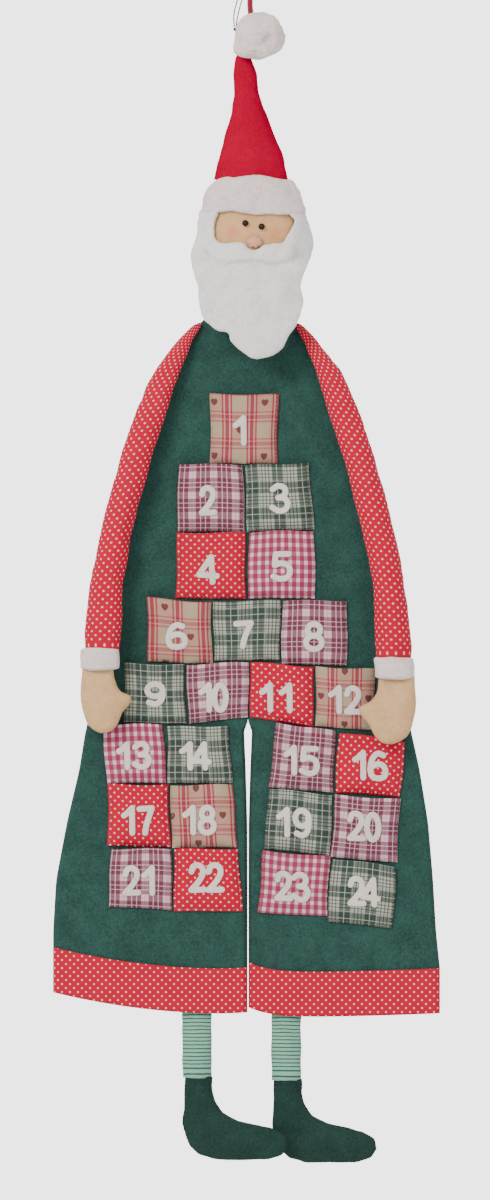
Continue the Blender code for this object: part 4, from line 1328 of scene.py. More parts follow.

# %% [markdown]
# ## Whiskers and beard
# The moustache, the side whiskers and the beard are one piece of fleece with an opening for the face. The
# beard below it can be lifted, and this piece is shaped with a turn there: its top lies on the face, its foot
# on the beard's hanging curve, and between the two it turns softly, without a gap.

# %% Whiskers and beard
# Across from the nail and down from it
WHISKER_OUTLINE = (
    (-0.0455, 0.2398),
    (-0.0498, 0.2402),
    (-0.0520, 0.2510),
    (-0.0534, 0.2650),
    (-0.0568, 0.2780),
    (-0.0585, 0.2890),
    (-0.0572, 0.2985),
    (-0.0540, 0.3065),
    (-0.0510, 0.3160),
    (-0.0515, 0.3310),
    (-0.0483, 0.3450),
    (-0.0410, 0.3540),
    (-0.0320, 0.3615),
    (-0.0235, 0.3640),
    (-0.0215, 0.3660),
    (-0.0203, 0.3720),
    (-0.0100, 0.3815),
    (0.0014, 0.3880),
    (0.0104, 0.3890),
    (0.0218, 0.3854),
    (0.0320, 0.3770),
    (0.0397, 0.3643),
    (0.0467, 0.3554),
    (0.0524, 0.3400),
    (0.0544, 0.3300),
    (0.0518, 0.3197),
    (0.0524, 0.3095),
    (0.0576, 0.2980),
    (0.0602, 0.2827),
    (0.0622, 0.2700),
    (0.0602, 0.2580),
    (0.0566, 0.2490),
    (0.0540, 0.2402),
    (0.0500, 0.2398),
)
FACE_OUTLINE = (
    (-0.0300, 0.2330),
    (-0.0320, 0.2435),
    (-0.0352, 0.2510),
    (-0.0364, 0.2600),
    (-0.0345, 0.2700),
    (-0.0266, 0.2740),
    (-0.0160, 0.2742),
    (-0.0075, 0.2750),
    (-0.0024, 0.2793),
    (0.0040, 0.2810),
    (0.0092, 0.2795),
    (0.0130, 0.2757),
    (0.0220, 0.2745),
    (0.0320, 0.2738),
    (0.0362, 0.2665),
    (0.0397, 0.2597),
    (0.0436, 0.2512),
    (0.0385, 0.2455),
    (0.0365, 0.2330),
)
WHISKER_CELL = 0.0013
WHISKER_THICKNESS = 0.009
WHISKER_RIM = 0.011
WHISKER_RIM_SHARE = 0.3
SKIN_CLEARANCE = 0.0015
DRAPE_LIMIT_SHARE = 0.88
DRAPE_SLOPE_SHARE = 1.0
BEARD_WRAP = 0.012
BEARD_HALF_WIDTH = 0.060
BEND_TOP_DROP = 0.282
BEND_FOOT_DROP = 0.300
MOUSTACHE_LOBES = (
    ((-0.0390, 0.2800), (-0.0335, 0.2880), (-0.0230, 0.2915), (-0.0110, 0.2910), (-0.0030, 0.2905)),
    ((0.0090, 0.2905), (0.0170, 0.2915), (0.0270, 0.2910), (0.0350, 0.2870), (0.0385, 0.2800)),
)
MOUSTACHE_RISE = 0.0046
MOUSTACHE_WIDTH = 0.0070
MOUSTACHE_LINE = (
    (-0.0470, 0.2830),
    (-0.0425, 0.2890),
    (-0.0290, 0.2965),
    (-0.0170, 0.2960),
    (-0.0060, 0.2940),
    (0.0065, 0.2937),
    (0.0190, 0.2970),
    (0.0300, 0.2960),
    (0.0400, 0.2920),
    (0.0450, 0.2860),
)


def in_front_view(outline, steps=4):
    """Turn a cut's outline of drops into a smooth closed line of x and z."""
    points = np.array(outline) * (1, -1)
    wrapped = smooth_route(np.vstack([points[-2:], points, points[:2]]), steps)
    return wrapped[2 * steps : -1 - steps]


head_rings = level_rings("head")
head_across = head_rings[0, 0]


def head_front(x, z):
    """Return the y of the face, carried on past the cheeks as cloth that drapes would be."""
    middle, half_width, half_depth = (
        np.interp(-z, -head_rings[:, 2], head_rings[:, part]) for part in (1, 3, 4)
    )
    share = np.abs(x - head_across) / half_width
    held = np.minimum(share, DRAPE_LIMIT_SHARE)
    return middle - half_depth * np.sqrt(1 - held**2) + (share - held) * half_width * DRAPE_SLOPE_SHARE


def bent_share(z):
    """Return how far a point is past the bend, from zero to one."""
    share = np.clip((-z - BEND_TOP_DROP) / (BEND_FOOT_DROP - BEND_TOP_DROP), 0, 1)
    return share * share * (3 - 2 * share)


whisker_outline = in_front_view(WHISKER_OUTLINE)
face_outline = in_front_view(FACE_OUTLINE)
flat, deep, faces, rim = cut_sheet(
    lambda spots: np.minimum(
        depth_in_outline(spots, whisker_outline), -depth_in_outline(spots, face_outline)
    ),
    whisker_outline.min(axis=0),
    whisker_outline.max(axis=0),
    WHISKER_CELL,
)
near = np.clip(deep / WHISKER_RIM, 0, 1)
thickness = WHISKER_THICKNESS * (WHISKER_RIM_SHARE + (1 - WHISKER_RIM_SHARE) * np.sqrt(1 - (1 - near) ** 2))
WHISKER_FOLDS = (((0.0026, 0.030), 41), ((0.0010, 0.012), 43), ((0.0004, 0.006), 42))
MOUSTACHE_LINE_DEPTH = 0.0026
MOUSTACHE_LINE_WIDTH = 0.0034
moustache = depth_in_strokes(flat, [np.array(lobe) * (1, -1) for lobe in MOUSTACHE_LOBES], 0)
thickness += MOUSTACHE_RISE * np.exp(-((moustache / MOUSTACHE_WIDTH) ** 2)) * near
skin = head_front(flat[:, 0], flat[:, 1]) - SKIN_CLEARANCE
beard_top = np.array((head_across, -BEND_FOOT_DROP + WHISKER_THICKNESS))
beard_middle = head_front(beard_top[0], np.array([beard_top[1]]))[0] - SKIN_CLEARANCE - WHISKER_THICKNESS / 2
hanging = beard_middle + BEARD_WRAP * ((flat[:, 0] - head_across) / BEARD_HALF_WIDTH) ** 2
share = bent_share(flat[:, 1])
back = (1 - share) * skin + share * (hanging + thickness / 2)
whiskers = thick_cut(
    "fleece_whiskers", flat, faces, rim, back - thickness, back, beard_fleece, None
)
for folds, seed in WHISKER_FOLDS:
    rumple(whiskers, *folds, seed)
moustache_line = np.array(MOUSTACHE_LINE)
line_x, line_z = moustache_line[:, 0], -moustache_line[:, 1]
nearest = [np.argmin(np.hypot(*(flat - spot).T)) for spot in np.column_stack([line_x, line_z])]
line_y = (back - thickness)[nearest]
moustache_route = smooth_route(np.column_stack([line_x, line_y, line_z]), 4)
crease(whiskers, moustache_route, MOUSTACHE_LINE_DEPTH, MOUSTACHE_LINE_WIDTH)
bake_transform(whiskers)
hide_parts("moustache", "beard")
print("head, face and whiskers are made")

# %% [markdown]
# ## Arms and legs
# Each arm is a long thin bag of dotted cotton with a fleece cuff and a calico mitten, stuffed and
# sewn on at the shoulder. Each leg is a striped stocking whose flat top goes inside the hem, with
# a felt boot. The print follows the cloth, so the sleeves and stockings are skinned with a map.

# %% Arms
# Each sleeve is sewn on a little below the garment's corner, the left one lower than the right.
SLEEVE_TOP_SHIFTS = {"left": (-0.0005, 0.0010, -0.0040), "right": (0.0, 0.0010, -0.0030)}
CUFF_SHIFTS = {"left": (-0.0020, 0, 0), "right": (0, 0, 0)}
HAND_SHIFTS = {"left": (-0.0052, 0, 0.0020), "right": (0.0022, 0, 0)}
HAND_FIT_SHARES = {"left": (0.94, 1, 1), "right": (1.07, 1, 1)}
ARM_TUCK = 0.007
TUCK_REACH = 0.008
SLEEVE_TOP_DROP = 0.350
SLEEVE_SHIFT_DROP = 0.400
SLEEVE_RING_GAP = 0.002
SLEEVE_TOP_ROUND = 0.004
SLEEVE_END_ROUND = 0.003
SLEEVE_SOFT_FOLDS = (0.0012, 0.026)
SLEEVE_FINE_FOLDS = (0.0006, 0.009)
CUFF_RING_GAP = 0.001
CUFF_ROUND = 0.0035
CUFF_FOLDS = (0.0012, 0.012)
MITTEN_CELL = 0.001
MITTEN_FOLDS = (0.0010, 0.018)
for side in ("left", "right"):
    arm = side + "_arm"
    sleeve = stuffed_tube(
        side + "_cotton_sleeve",
        side + "_sleeve",
        dotted_red,
        arm,
        SLEEVE_RING_GAP,
        56,
        SLEEVE_TOP_ROUND,
        SLEEVE_END_ROUND,
        3,
    )
    stuff(sleeve)
    rumple(sleeve, *SLEEVE_SOFT_FOLDS, 51, (1, 1, 0.7))
    rumple(sleeve, *SLEEVE_FINE_FOLDS, 52)
    points, _ = points_of(sleeve)
    share = np.clip((points[:, 2] + SLEEVE_SHIFT_DROP) / (SLEEVE_SHIFT_DROP - SLEEVE_TOP_DROP), 0, 1)
    move_points(sleeve, points + (share**2)[:, None] * SLEEVE_TOP_SHIFTS[side])
    tuck(sleeve, ARM_TUCK, TUCK_REACH)
    cuff = stuffed_tube(
        side + "_fleece_cuff",
        side + "_cuff",
        white_fleece,
        arm,
        CUFF_RING_GAP,
        56,
        CUFF_ROUND,
        CUFF_ROUND,
        3,
    )
    stuff(cuff, BAG_MOST / 2)
    rumple(cuff, *CUFF_FOLDS, 55)
    points, _ = points_of(cuff)
    move_points(cuff, points + CUFF_SHIFTS[side])
    hand = stuffed_form(
        side + "_mitten", side + "_hand", hand_calico, arm, MITTEN_CELL, 10
    )
    stuff(hand, BAG_MOST / 2)
    rumple(hand, *MITTEN_FOLDS, 57)
    points, _ = points_of(hand)
    middle = (points.min(axis=0) + points.max(axis=0)) / 2
    move_points(hand, middle + (points - middle) * HAND_FIT_SHARES[side] + HAND_SHIFTS[side])
    tuck(hand, ARM_TUCK, TUCK_REACH, at_top=True)

# %% Legs
LEG_TUCK = 0.005
STOCKING_RING_GAP = 0.0015
STOCKING_FOOT_ROUND = 0.001
STOCKING_FOLDS = (0.0010, 0.014)
BOOT_CELL = 0.0013
BOOT_FOLDS = (0.0010, 0.022)
for side in ("left", "right"):
    leg = side + "_leg"
    stocking = stuffed_tube(
        side + "_knit_stocking",
        side + "_stocking",
        mint_knit,
        leg,
        STOCKING_RING_GAP,
        48,
        0,
        STOCKING_FOOT_ROUND,
        9,
    )
    stuff(stocking, BAG_MOST / 2)
    rumple(stocking, *STOCKING_FOLDS, 61)
    tuck(stocking, LEG_TUCK, TUCK_REACH)
    boot = stuffed_form(
        side + "_felt_boot", side + "_boot", boot_felt, leg, BOOT_CELL, 14
    )
    stuff(boot, BAG_MOST / 2)
    rumple(boot, *BOOT_FOLDS, 63)
print("arms and legs are made")

# %% [markdown]
# ## The garment
# Two layers of felt are cut to one outline, laid on each other over wadding and sewn round their
# edges; below, a slit parts the garment into two legs. One layer is a sheet: a grid that follows
# the outline row by row, rolled back at its rim where the seam pulls it, and only slightly
# uneven, since felt lies flat. A band of dotted cotton is sewn along each curved hem.

# %% The garment's cut
WALL_Y = 0.006
FELT = 0.002
PADDING = 0.006
CLEARANCE = 0.0003
SEAM_BACK_Y = WALL_Y - FELT - CLEARANCE
GARMENT_ACROSS = -0.002
GARMENT_HALF_WIDTH = 0.195
GARMENT_LENGTH = 0.651
GARMENT_TOP_DROP = -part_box("garment_front")[1][2]
HEM_TOP_DROP = GARMENT_TOP_DROP + GARMENT_LENGTH
# Down the garment to its hem, then its left and right half width
GARMENT_ROW_SHARES = np.array((
    (0.000, 0.22, 0.225),
    (0.013, 0.27, 0.270),
    (0.041, 0.32, 0.325),
    (0.088, 0.40, 0.400),
    (0.160, 0.49, 0.500),
    (0.266, 0.615, 0.625),
    (0.371, 0.69, 0.710),
    (0.503, 0.755, 0.760),
    (0.586, 0.795, 0.805),
    (0.618, 0.82, 0.825),
    (0.635, 0.835, 0.838),
    (0.692, 0.865, 0.880),
    (0.775, 0.93, 0.925),
    (0.863, 0.985, 0.950),
    (0.940, 1.000, 0.965),
    (1.000, 1.000, 0.985),
))
LAST_LEVEL_SHARE = 0.940
SLIT_TOP_SHARE = 0.618
# Down the garment, then how wide half the slit is
SLIT_HALF_WIDTH = 0.004
SLIT_SHARES = np.array((
    (0.618, 0.0),
    (0.635, 0.95),
    (0.692, 0.55),
    (0.775, 0.18),
    (0.863, 0.15),
    (1.000, 0.15),
))
HEM_HEIGHT = 0.045
HEM_CLOTH = 0.0015
HEM_OUTER_RISE = {"left": 0.022, "right": 0.004}
HEM_INNER_RISE = {"left": 0.002, "right": 0.010}
HEM_SET_DOWN = {"left": 0.0, "right": 0.003}
OUTER_CURVE_POWER = 2.2
INNER_CURVE_POWER = 9
SIDES = {"left": -1, "right": 1}
CLOTH_STEP = 0.003
EDGE_STEPS = (0, 0.0003, 0.0008, 0.0016, 0.0027, 0.0042, 0.006)
EDGE_ROLL = 0.0048


def hem_drop(side, across_share, down_share):
    """Return the drop on the curved hem; the across share runs from the outer edge in."""
    outer = HEM_OUTER_RISE[side] * (1 - across_share) ** OUTER_CURVE_POWER
    inner = HEM_INNER_RISE[side] * across_share**INNER_CURVE_POWER
    return HEM_TOP_DROP + HEM_SET_DOWN[side] + down_share * HEM_HEIGHT - outer - inner


def edges_at(side, down):
    """Return a half's outer and inner edge at rows of the garment."""
    part = 1 if side == "left" else 2
    cut = np.interp(down, GARMENT_ROW_SHARES[:, 0], GARMENT_ROW_SHARES[:, part])
    cut = eased(cut, 5)
    slit = np.interp(down, SLIT_SHARES[:, 0], SLIT_SHARES[:, 1]) * SLIT_HALF_WIDTH
    out = SIDES[side]
    return GARMENT_ACROSS + out * cut * GARMENT_HALF_WIDTH, GARMENT_ACROSS + out * slit


def rolled(distance):
    """Return how far the felt has risen at a distance from its sewn edge, from zero to one."""
    near = np.clip(distance / EDGE_ROLL, 0, 1)
    return np.sqrt(1 - (1 - near) ** 2)


def half_cut(side, body=True, hem=True):
    """Return x, drop and rise of one half as grids, from its top row to the hem's foot."""
    down = np.linspace(0, 1, int(GARMENT_LENGTH / CLOTH_STEP))
    outer, inner = edges_at(side, down)
    hem_shares = np.linspace(0, 1, int(HEM_HEIGHT / CLOTH_STEP) + 1)
    rows = []
    for share, start, end in zip(down, outer, inner):
        rows.append((share, 0, start, end))
    below = [(1, share, outer[-1], inner[-1]) for share in hem_shares]
    chosen = (rows[:-1] if body else []) + (below if hem else [])
    width = abs(outer[-1] - inner[-1])
    middle = np.linspace(0, 1, int(width / CLOTH_STEP / 1.3))[1:-1]
    xs, drops, rises = [], [], []
    for share, hem_share, start, end in chosen:
        span = abs(end - start)
        steps = np.array(EDGE_STEPS)
        inside = steps[-1] + middle * (span - 2 * steps[-1])
        away = np.concatenate([steps, inside, span - steps[::-1]])
        x = start + away * math.copysign(1, end - start)
        across = away / span
        level = GARMENT_TOP_DROP + share * GARMENT_LENGTH
        if share > LAST_LEVEL_SHARE:
            bent = (share - LAST_LEVEL_SHARE) / (1 - LAST_LEVEL_SHARE)
            straight = GARMENT_TOP_DROP + LAST_LEVEL_SHARE * GARMENT_LENGTH
            curved = hem_drop(side, across, hem_share)
            drop = straight + bent * (curved - straight)
        else:
            drop = np.full(len(x), level)
        open_share = np.clip((share - SLIT_TOP_SHARE) / 0.017, 0, 1)
        rise = rolled(away) * (1 - open_share * (1 - rolled(span - away)))
        xs.append(x)
        drops.append(drop)
        rises.append(rise)
    return np.array(xs), np.array(drops), np.array(rises)


def along_cloth(xs, ys):
    """Return how far along its row of cloth each point is, in step with x at the row's middle."""
    way = np.sign(xs[:, -1:] - xs[:, :1])
    steps = np.hypot(np.diff(xs, axis=1), np.diff(ys, axis=1)) * way
    along = np.hstack([np.zeros((len(xs), 1)), np.cumsum(steps, axis=1)])
    middle = xs.shape[1] // 2
    return along + (xs - along)[:, middle : middle + 1]


SEAM_WELD = 0.00002


def cloth_panel(name, halves, front, finish, body, thickness):
    """Make one sheet of cloth from its halves; front gives its face's y from the rise."""
    points, faces, spread = [], [], []
    for side, (xs, drops, rises) in halves:
        first = len(points)
        rows, columns = xs.shape
        ys = front(rises)
        points += list(zip(xs.ravel(), ys.ravel(), -drops.ravel()))
        spread += list(zip(along_cloth(xs, ys).ravel(), -drops.ravel()))
        for face in quads(rows, columns):
            face = tuple(first + corner for corner in face)
            faces.append(face if side == "left" else face[::-1])
    piece = add_piece(name, points, [face[::-1] for face in faces], finish, body, spread)
    ready = bmesh.new()
    ready.from_mesh(piece.data)
    bmesh.ops.remove_doubles(ready, verts=ready.verts, dist=SEAM_WELD)
    ready.to_mesh(piece.data)
    ready.free()
    thicken = piece.modifiers.new("cloth thickness", "SOLIDIFY")
    thicken.thickness = thickness
    thicken.offset = -1
    return piece


# %% Garment
garment_halves = [(side, half_cut(side)) for side in SIDES]
GARMENT_FOLDS = (0.0007, 0.045)
garment = cloth_panel(
    "felt_garment_front",
    garment_halves,
    lambda rise: SEAM_BACK_Y - rise * (FELT + PADDING),
    green_felt,
    "doll",
    FELT,
)
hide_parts("garment_front")
rumple(garment, *GARMENT_FOLDS, 71, inward=True)
garment_back = cloth_panel(
    "felt_garment_back",
    garment_halves,
    lambda rise: np.full(rise.shape, WALL_Y - FELT),
    green_felt,
    "doll",
    FELT,
)
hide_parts("garment_back")
FILLING_CELL = 0.002
filling = stuffed_form(
    "wool_filling", "wadding", filling_fleece, "doll", FILLING_CELL, 4
)

# %% Hem bands
for side in SIDES:
    band_piece = cloth_panel(
        side + "_dotted_hem",
        [(side, half_cut(side, body=False))],
        lambda rise: SEAM_BACK_Y - rise * (FELT + PADDING) - CLEARANCE - HEM_CLOTH,
        dotted_red,
        "doll",
        HEM_CLOTH,
    )
    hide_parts(side + "_hem_band")
print("hem bands are made")

# %% [markdown]
# ## The pockets
# Each pocket is a square of cotton, hemmed along its mouth and sewn flat down both sides and
# along its foot, so its middle stands off the garment and its mouth gapes a little. The four
# corners come from the solid. Between them a fine grid bellies out, waves at the mouth and
# puckers beside the seams.

# %% Pockets
POCKET_SEAT_Y = GARMENT_FRONT_Y - CLEARANCE
POCKET_BELLY = 0.0075
POCKET_CLOTH = 0.0012
POCKET_COLUMNS = 45
POCKET_ROWS = 45
SIDE_POWER = 6
FOOT_POWER = 8
MOUTH_HEM = 0.0085
HEM_LIFT = 0.0004
POCKET_CLOTHS = (
    (heart_plaid, "heart_plaid", (1, 6, 12, 18)),
    (berry_plaid, "berry_plaid", (2, 8, 10, 15, 20, 21)),
    (leaf_plaid, "leaf_plaid", (3, 7, 9, 14, 19, 24)),
    (dotted_red, "dotted_cotton", (4, 11, 16, 17, 22)),
    (rose_check, "rose_check", (5, 13, 23)),
)


# Where each print starts on its pocket: across and up from the middle
PRINT_SHIFTS = {
    1: (-0.0047, -0.0013),
    6: (0.0110, -0.0050),
    12: (0.0245, 0),
    18: (0.0195, 0),
    2: (0.0066, 0.0060),
    3: (-0.0060, 0.0040),
    5: (0.0010, 0.0020),
    7: (0.0050, 0.0110),
    8: (-0.0050, 0.0020),
    9: (0.0070, -0.0080),
    10: (0.0090, 0.0120),
    13: (0.0020, 0.0010),
    14: (-0.0030, 0.0030),
    15: (0.0060, -0.0070),
    19: (-0.0080, 0.0090),
    20: (0.0020, -0.0050),
    21: (0.0080, 0.0040),
    23: (0.0030, -0.0010),
    24: (0.0040, -0.0060),
}


# How far hand sewing drew each corner away from square: foot left, foot right, mouth right, mouth left
CORNER_SHIFTS = {
    1: ((0.0002, 0.0001), (-0.0015, -0.0008), (-0.0001, -0.0006), (0.0002, 0.0004)),
    2: ((-0.0012, -0.0001), (0.0011, -0.0012), (-0.0014, -0.0004), (0.0008, 0.0009)),
    3: ((0.0018, -0.0012), (0.0022, 0.0013), (-0.0030, 0.0020), (-0.0008, -0.0010)),
    4: ((-0.0014, 0.0014), (0.0011, 0.0), (0.0, 0.0), (0.0004, 0.0)),
    5: ((0.0, 0.0002), (0.0013, 0.0002), (0.0, 0.0012), (0.0008, 0.0)),
    6: ((0.0003, -0.0010), (0.0010, -0.0018), (-0.0010, -0.0014), (-0.0022, 0.0024)),
    7: ((0.0004, 0.0004), (0.0004, 0.0010), (0.0012, 0.0002), (-0.0004, -0.0006)),
    8: ((-0.0004, -0.0014), (0.0006, -0.0026), (0.0013, 0.0008), (0.0, 0.0008)),
    9: ((0.0, 0.0), (0.0001, -0.0012), (-0.0020, -0.0014), (0.0, 0.0)),
    10: ((0.0010, -0.0030), (-0.0002, 0.0034), (0.0, 0.0006), (-0.0010, -0.0018)),
    11: ((0.0008, 0.0040), (0.0012, -0.0036), (0.0008, 0.0), (-0.0018, 0.0022)),
    12: ((0.0022, 0.0012), (0.0, 0.0), (-0.0030, 0.0006), (-0.0002, 0.0)),
    13: ((0.0009, 0.0005), (0.0006, -0.0026), (-0.0008, 0.0016), (0.0, 0.0035)),
    14: ((-0.0002, 0.0), (0.0016, -0.0010), (-0.0018, 0.0008), (0.0, 0.0006)),
    15: ((0.0005, -0.0004), (0.0030, 0.0005), (-0.0016, -0.0010), (0.0020, 0.0016)),
    16: ((0.0015, -0.0008), (0.0005, 0.0018), (0.0, 0.0), (-0.0016, 0.0020)),
    17: ((-0.0002, 0.0005), (0.0008, -0.0006), (-0.0014, 0.0003), (-0.0005, 0.0006)),
    18: ((0.0004, -0.0008), (0.0030, -0.0004), (-0.0024, 0.0012), (-0.0008, 0.0010)),
    19: ((0.0016, -0.0020), (0.0010, -0.0014), (-0.0022, 0.0004), (-0.0010, -0.0010)),
    20: ((0.0004, 0.0001), (0.0006, 0.0013), (-0.0024, 0.0020), (-0.0018, -0.0004)),
    21: ((-0.0011, 0.0022), (0.0010, -0.0018), (-0.0006, 0.0004), (0.0022, 0.0006)),
    22: ((0.0006, 0.0001), (0.0026, 0.0006), (-0.0016, 0.0001), (0.0, -0.0006)),
    23: ((-0.0002, -0.0008), (0.0034, 0.0030), (-0.0008, 0.0006), (-0.0020, -0.0002)),
    24: ((0.0, 0.0), (0.0, 0.0), (-0.0024, -0.0008), (-0.0020, 0.0006)),
}
EDGE_WAVE = 0.0007
BELLY_WAVE = 0.0007
MOUTH_WAVE = 0.0009
SEAM_PUCKER = 0.0004
HEM_STEP = 0.0004
SLOW_WAVES = 5.5


class Pocket:
    """The place of one pocket: its corners in front view, and the cloth's surface."""

    def __init__(self, number):
        self.number = number
        points = node_points(f"pocket_{number:02d}")[:, (0, 2)]
        corner = {
            (right, up): points[np.argmax(right * points[:, 0] + up * points[:, 1])]
            for right in (-1, 1)
            for up in (-1, 1)
        }
        self.foot = corner[-1, -1]
        self.across = corner[1, -1] - self.foot
        self.rise = corner[-1, 1] - self.foot
        self.width = np.linalg.norm(self.across)
        self.height = np.linalg.norm(self.rise)

    def flat(self, u, v):
        """Return x and z at shares across and up the pocket."""
        parts = ((1 - u) * (1 - v), u * (1 - v), u * v, (1 - u) * v)
        shifts = CORNER_SHIFTS[self.number]
        drawn = [sum(part * shift[way] for part, shift in zip(parts, shifts)) for way in (0, 1)]
        phase = self.number * 2.3
        drawn[0] = drawn[0] + EDGE_WAVE * np.sin(SLOW_WAVES * v + phase) * 2 * (u - 0.5)
        drawn[1] = drawn[1] + EDGE_WAVE * np.sin(SLOW_WAVES * u + phase) * (0.4 + 0.8 * v)
        return tuple(
            self.foot[way] + u * self.across[way] + v * self.rise[way] + drawn[way] for way in (0, 1)
        )

    def shares(self, x, z):
        """Return the shares across and up of points in front view."""
        turned = np.linalg.inv(np.column_stack([self.across, self.rise]))
        away = np.stack([np.asarray(x) - self.foot[0], np.asarray(z) - self.foot[1]])
        return np.tensordot(turned, away, axes=1)

    def stand(self, u, v):
        """Return how far the cloth's back stands off its seat."""
        out = np.abs(2 * u - 1)
        belly = (1 - out**SIDE_POWER) * (1 - (1 - v) ** FOOT_POWER)
        phase = self.number * 1.7
        wave = BELLY_WAVE * np.sin(7.5 * u + phase) * np.sin(5.2 * v + phase * 0.6)
        mouth = MOUTH_WAVE * np.sin(11 * u + phase) * np.clip(v * 2 - 1, 0, 1) ** 2
        pucker = SEAM_PUCKER * np.cos(v * 38 + phase) * np.exp(-(1 - out) / 0.12)
        pucker += SEAM_PUCKER * np.cos(u * 38 + phase) * np.exp(-v / 0.12)
        fullness = belly * (POCKET_BELLY - MOUTH_WAVE + wave + mouth)
        return np.clip(fullness + pucker * belly**0.5, 0, POCKET_BELLY)

    def face_y(self, u, v):
        """Return the y of the cloth's face."""
        hem = HEM_LIFT / (1 + np.exp(-(v * self.height - self.height + MOUTH_HEM) / HEM_STEP))
        return POCKET_SEAT_Y - POCKET_CLOTH - self.stand(u, v) - hem


def edged(count, power=1.6):
    """Return shares from zero to one that lie closer together near both ends."""
    steps = np.linspace(-1, 1, count)
    return (np.sign(steps) * (1 - (1 - np.abs(steps)) ** power) + 1) / 2


def sew_pocket(number, finish):
    """Make one pocket of cloth with its own map of metres."""
    pocket = Pocket(number)
    u, v = np.meshgrid(edged(POCKET_COLUMNS), edged(POCKET_ROWS))
    x, z = pocket.flat(u, v)
    y = pocket.face_y(u, v)
    points = np.stack([x.ravel(), y.ravel(), z.ravel()], axis=1)
    spread = np.stack([(u.ravel() - 0.5) * pocket.width, (v.ravel() - 0.5) * pocket.height], axis=1)
    spread -= PRINT_SHIFTS.get(number, (0, 0))
    faces = quads(POCKET_ROWS, POCKET_COLUMNS)
    piece = add_piece(f"pocket_{number:02d}_cloth", points, faces, finish, "doll", spread)
    thicken = piece.modifiers.new("cloth thickness", "SOLIDIFY")
    thicken.thickness = POCKET_CLOTH
    thicken.offset = -1
    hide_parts(f"pocket_{number:02d}")
    return pocket


pockets = {}
for finish, slot, numbers in POCKET_CLOTHS:
    for number in numbers:
        pockets[number] = sew_pocket(number, finish)
print("pockets sewn:", len(pockets))

# %% [markdown]
# ## The pockets' stitches
# Small running stitches hold each pocket by its sides and its foot. A stitch is a short length of
# thread that comes up through the cloth and dives in again, so it is a thin tube whose two ends
# sink below the surface. One piece holds all the stitches of a pocket.

# %% Stitches
STITCH_LENGTH = 0.0024
STITCH_GAP = 0.0016
STITCH_THREAD = 0.0005
STITCH_INSET = 0.0018
STITCH_RISE = 0.00035
STITCH_DIVE = 0.0006
# Along a stitch, how high and how thick it is
STITCH_SHARES = ((0.0, -1.0, 0.6), (0.15, 0.5, 0.95), (0.5, 1.0, 1.0), (0.85, 0.5, 0.95), (1.0, -1.0, 0.6))
STITCH_SIDES = 6


def stitched(name, routes, finish, body):
    """Sew running stitches along routes of points; each route has its own way out of the cloth."""
    points, faces = [], []
    for route, out in routes:
        along = lengths_along(route)
        count = int(along[-1] / (STITCH_LENGTH + STITCH_GAP))
        for number in range(count):
            start = STITCH_GAP / 2 + number * (STITCH_LENGTH + STITCH_GAP)
            first = len(points)
            for share, height, thick in STITCH_SHARES:
                place = start + share * STITCH_LENGTH
                centre = np.array([np.interp(place, along, route[:, part]) for part in range(3)])
                centre = centre + out * (STITCH_RISE if height > 0 else STITCH_DIVE) * height
                ahead, behind = (
                    np.array([np.interp(place + step, along, route[:, part]) for part in range(3)])
                    for step in (STITCH_GAP / 2, -STITCH_GAP / 2)
                )
                way = (ahead - behind) / np.linalg.norm(ahead - behind)
                across = np.cross(way, out)
                for step in range(STITCH_SIDES):
                    turn = 2 * math.pi * step / STITCH_SIDES
                    round_part = across * math.cos(turn) + out * math.sin(turn)
                    points.append(centre + round_part * thick * STITCH_THREAD / 2)
            rows = len(STITCH_SHARES)
            around = quads(rows, STITCH_SIDES, closed=True)
            faces += [tuple(first + corner for corner in face) for face in around]
            faces.append(tuple(first + step for step in range(STITCH_SIDES))[::-1])
            faces.append(tuple(first + (rows - 1) * STITCH_SIDES + step for step in range(STITCH_SIDES)))
    return add_piece(name, points, faces, finish, body)


def pocket_seam(pocket):
    """Return the routes of a pocket's two sides and its foot, and the way out of the cloth."""
    inset_u = STITCH_INSET / pocket.width
    inset_v = STITCH_INSET / pocket.height
    shares = np.linspace(0, 1, 40)
    down = 1 - shares * (1 - inset_v)
    lines = (
        (np.full(40, inset_u), down),
        (inset_u + shares * (1 - 2 * inset_u), np.full(40, inset_v)),
        (np.full(40, 1 - inset_u), down[::-1]),
    )
    routes = []
    for u, v in lines:
        x, z = pocket.flat(u, v)
        routes.append((np.column_stack([x, pocket.face_y(u, v), z]), np.array((0, -1, 0))))
    return routes


for number in sorted(pockets):
    stitched(f"pocket_{number:02d}_seam", pocket_seam(pockets[number]), seam_thread, "doll")
print("stitched pockets:", len(pockets))

# %% [markdown]
# ## The numbers
# The day numbers are cut from cream felt with a bold round stroke. A felt cut-out is flat with a
# soft rim, so each number is drawn as a few pen strokes, and the felt lies wherever a point is
# nearer to a stroke than half the stroke's width. Small cells are filled up to that outline, and
# the height rises from the rim by a quarter round.

# %% Pen strokes of the digits
ROUND_STEPS = 20


def oval(across, up, half_width, half_height):
    """Return a closed round stroke."""
    turns = np.linspace(0, 2 * math.pi, ROUND_STEPS + 1)
    return [(across + half_width * math.sin(turn), up + half_height * math.cos(turn)) for turn in turns]


def swung(*points):
    """Return a curved stroke through points."""
    return [tuple(point) for point in smooth_route(points, 5)]


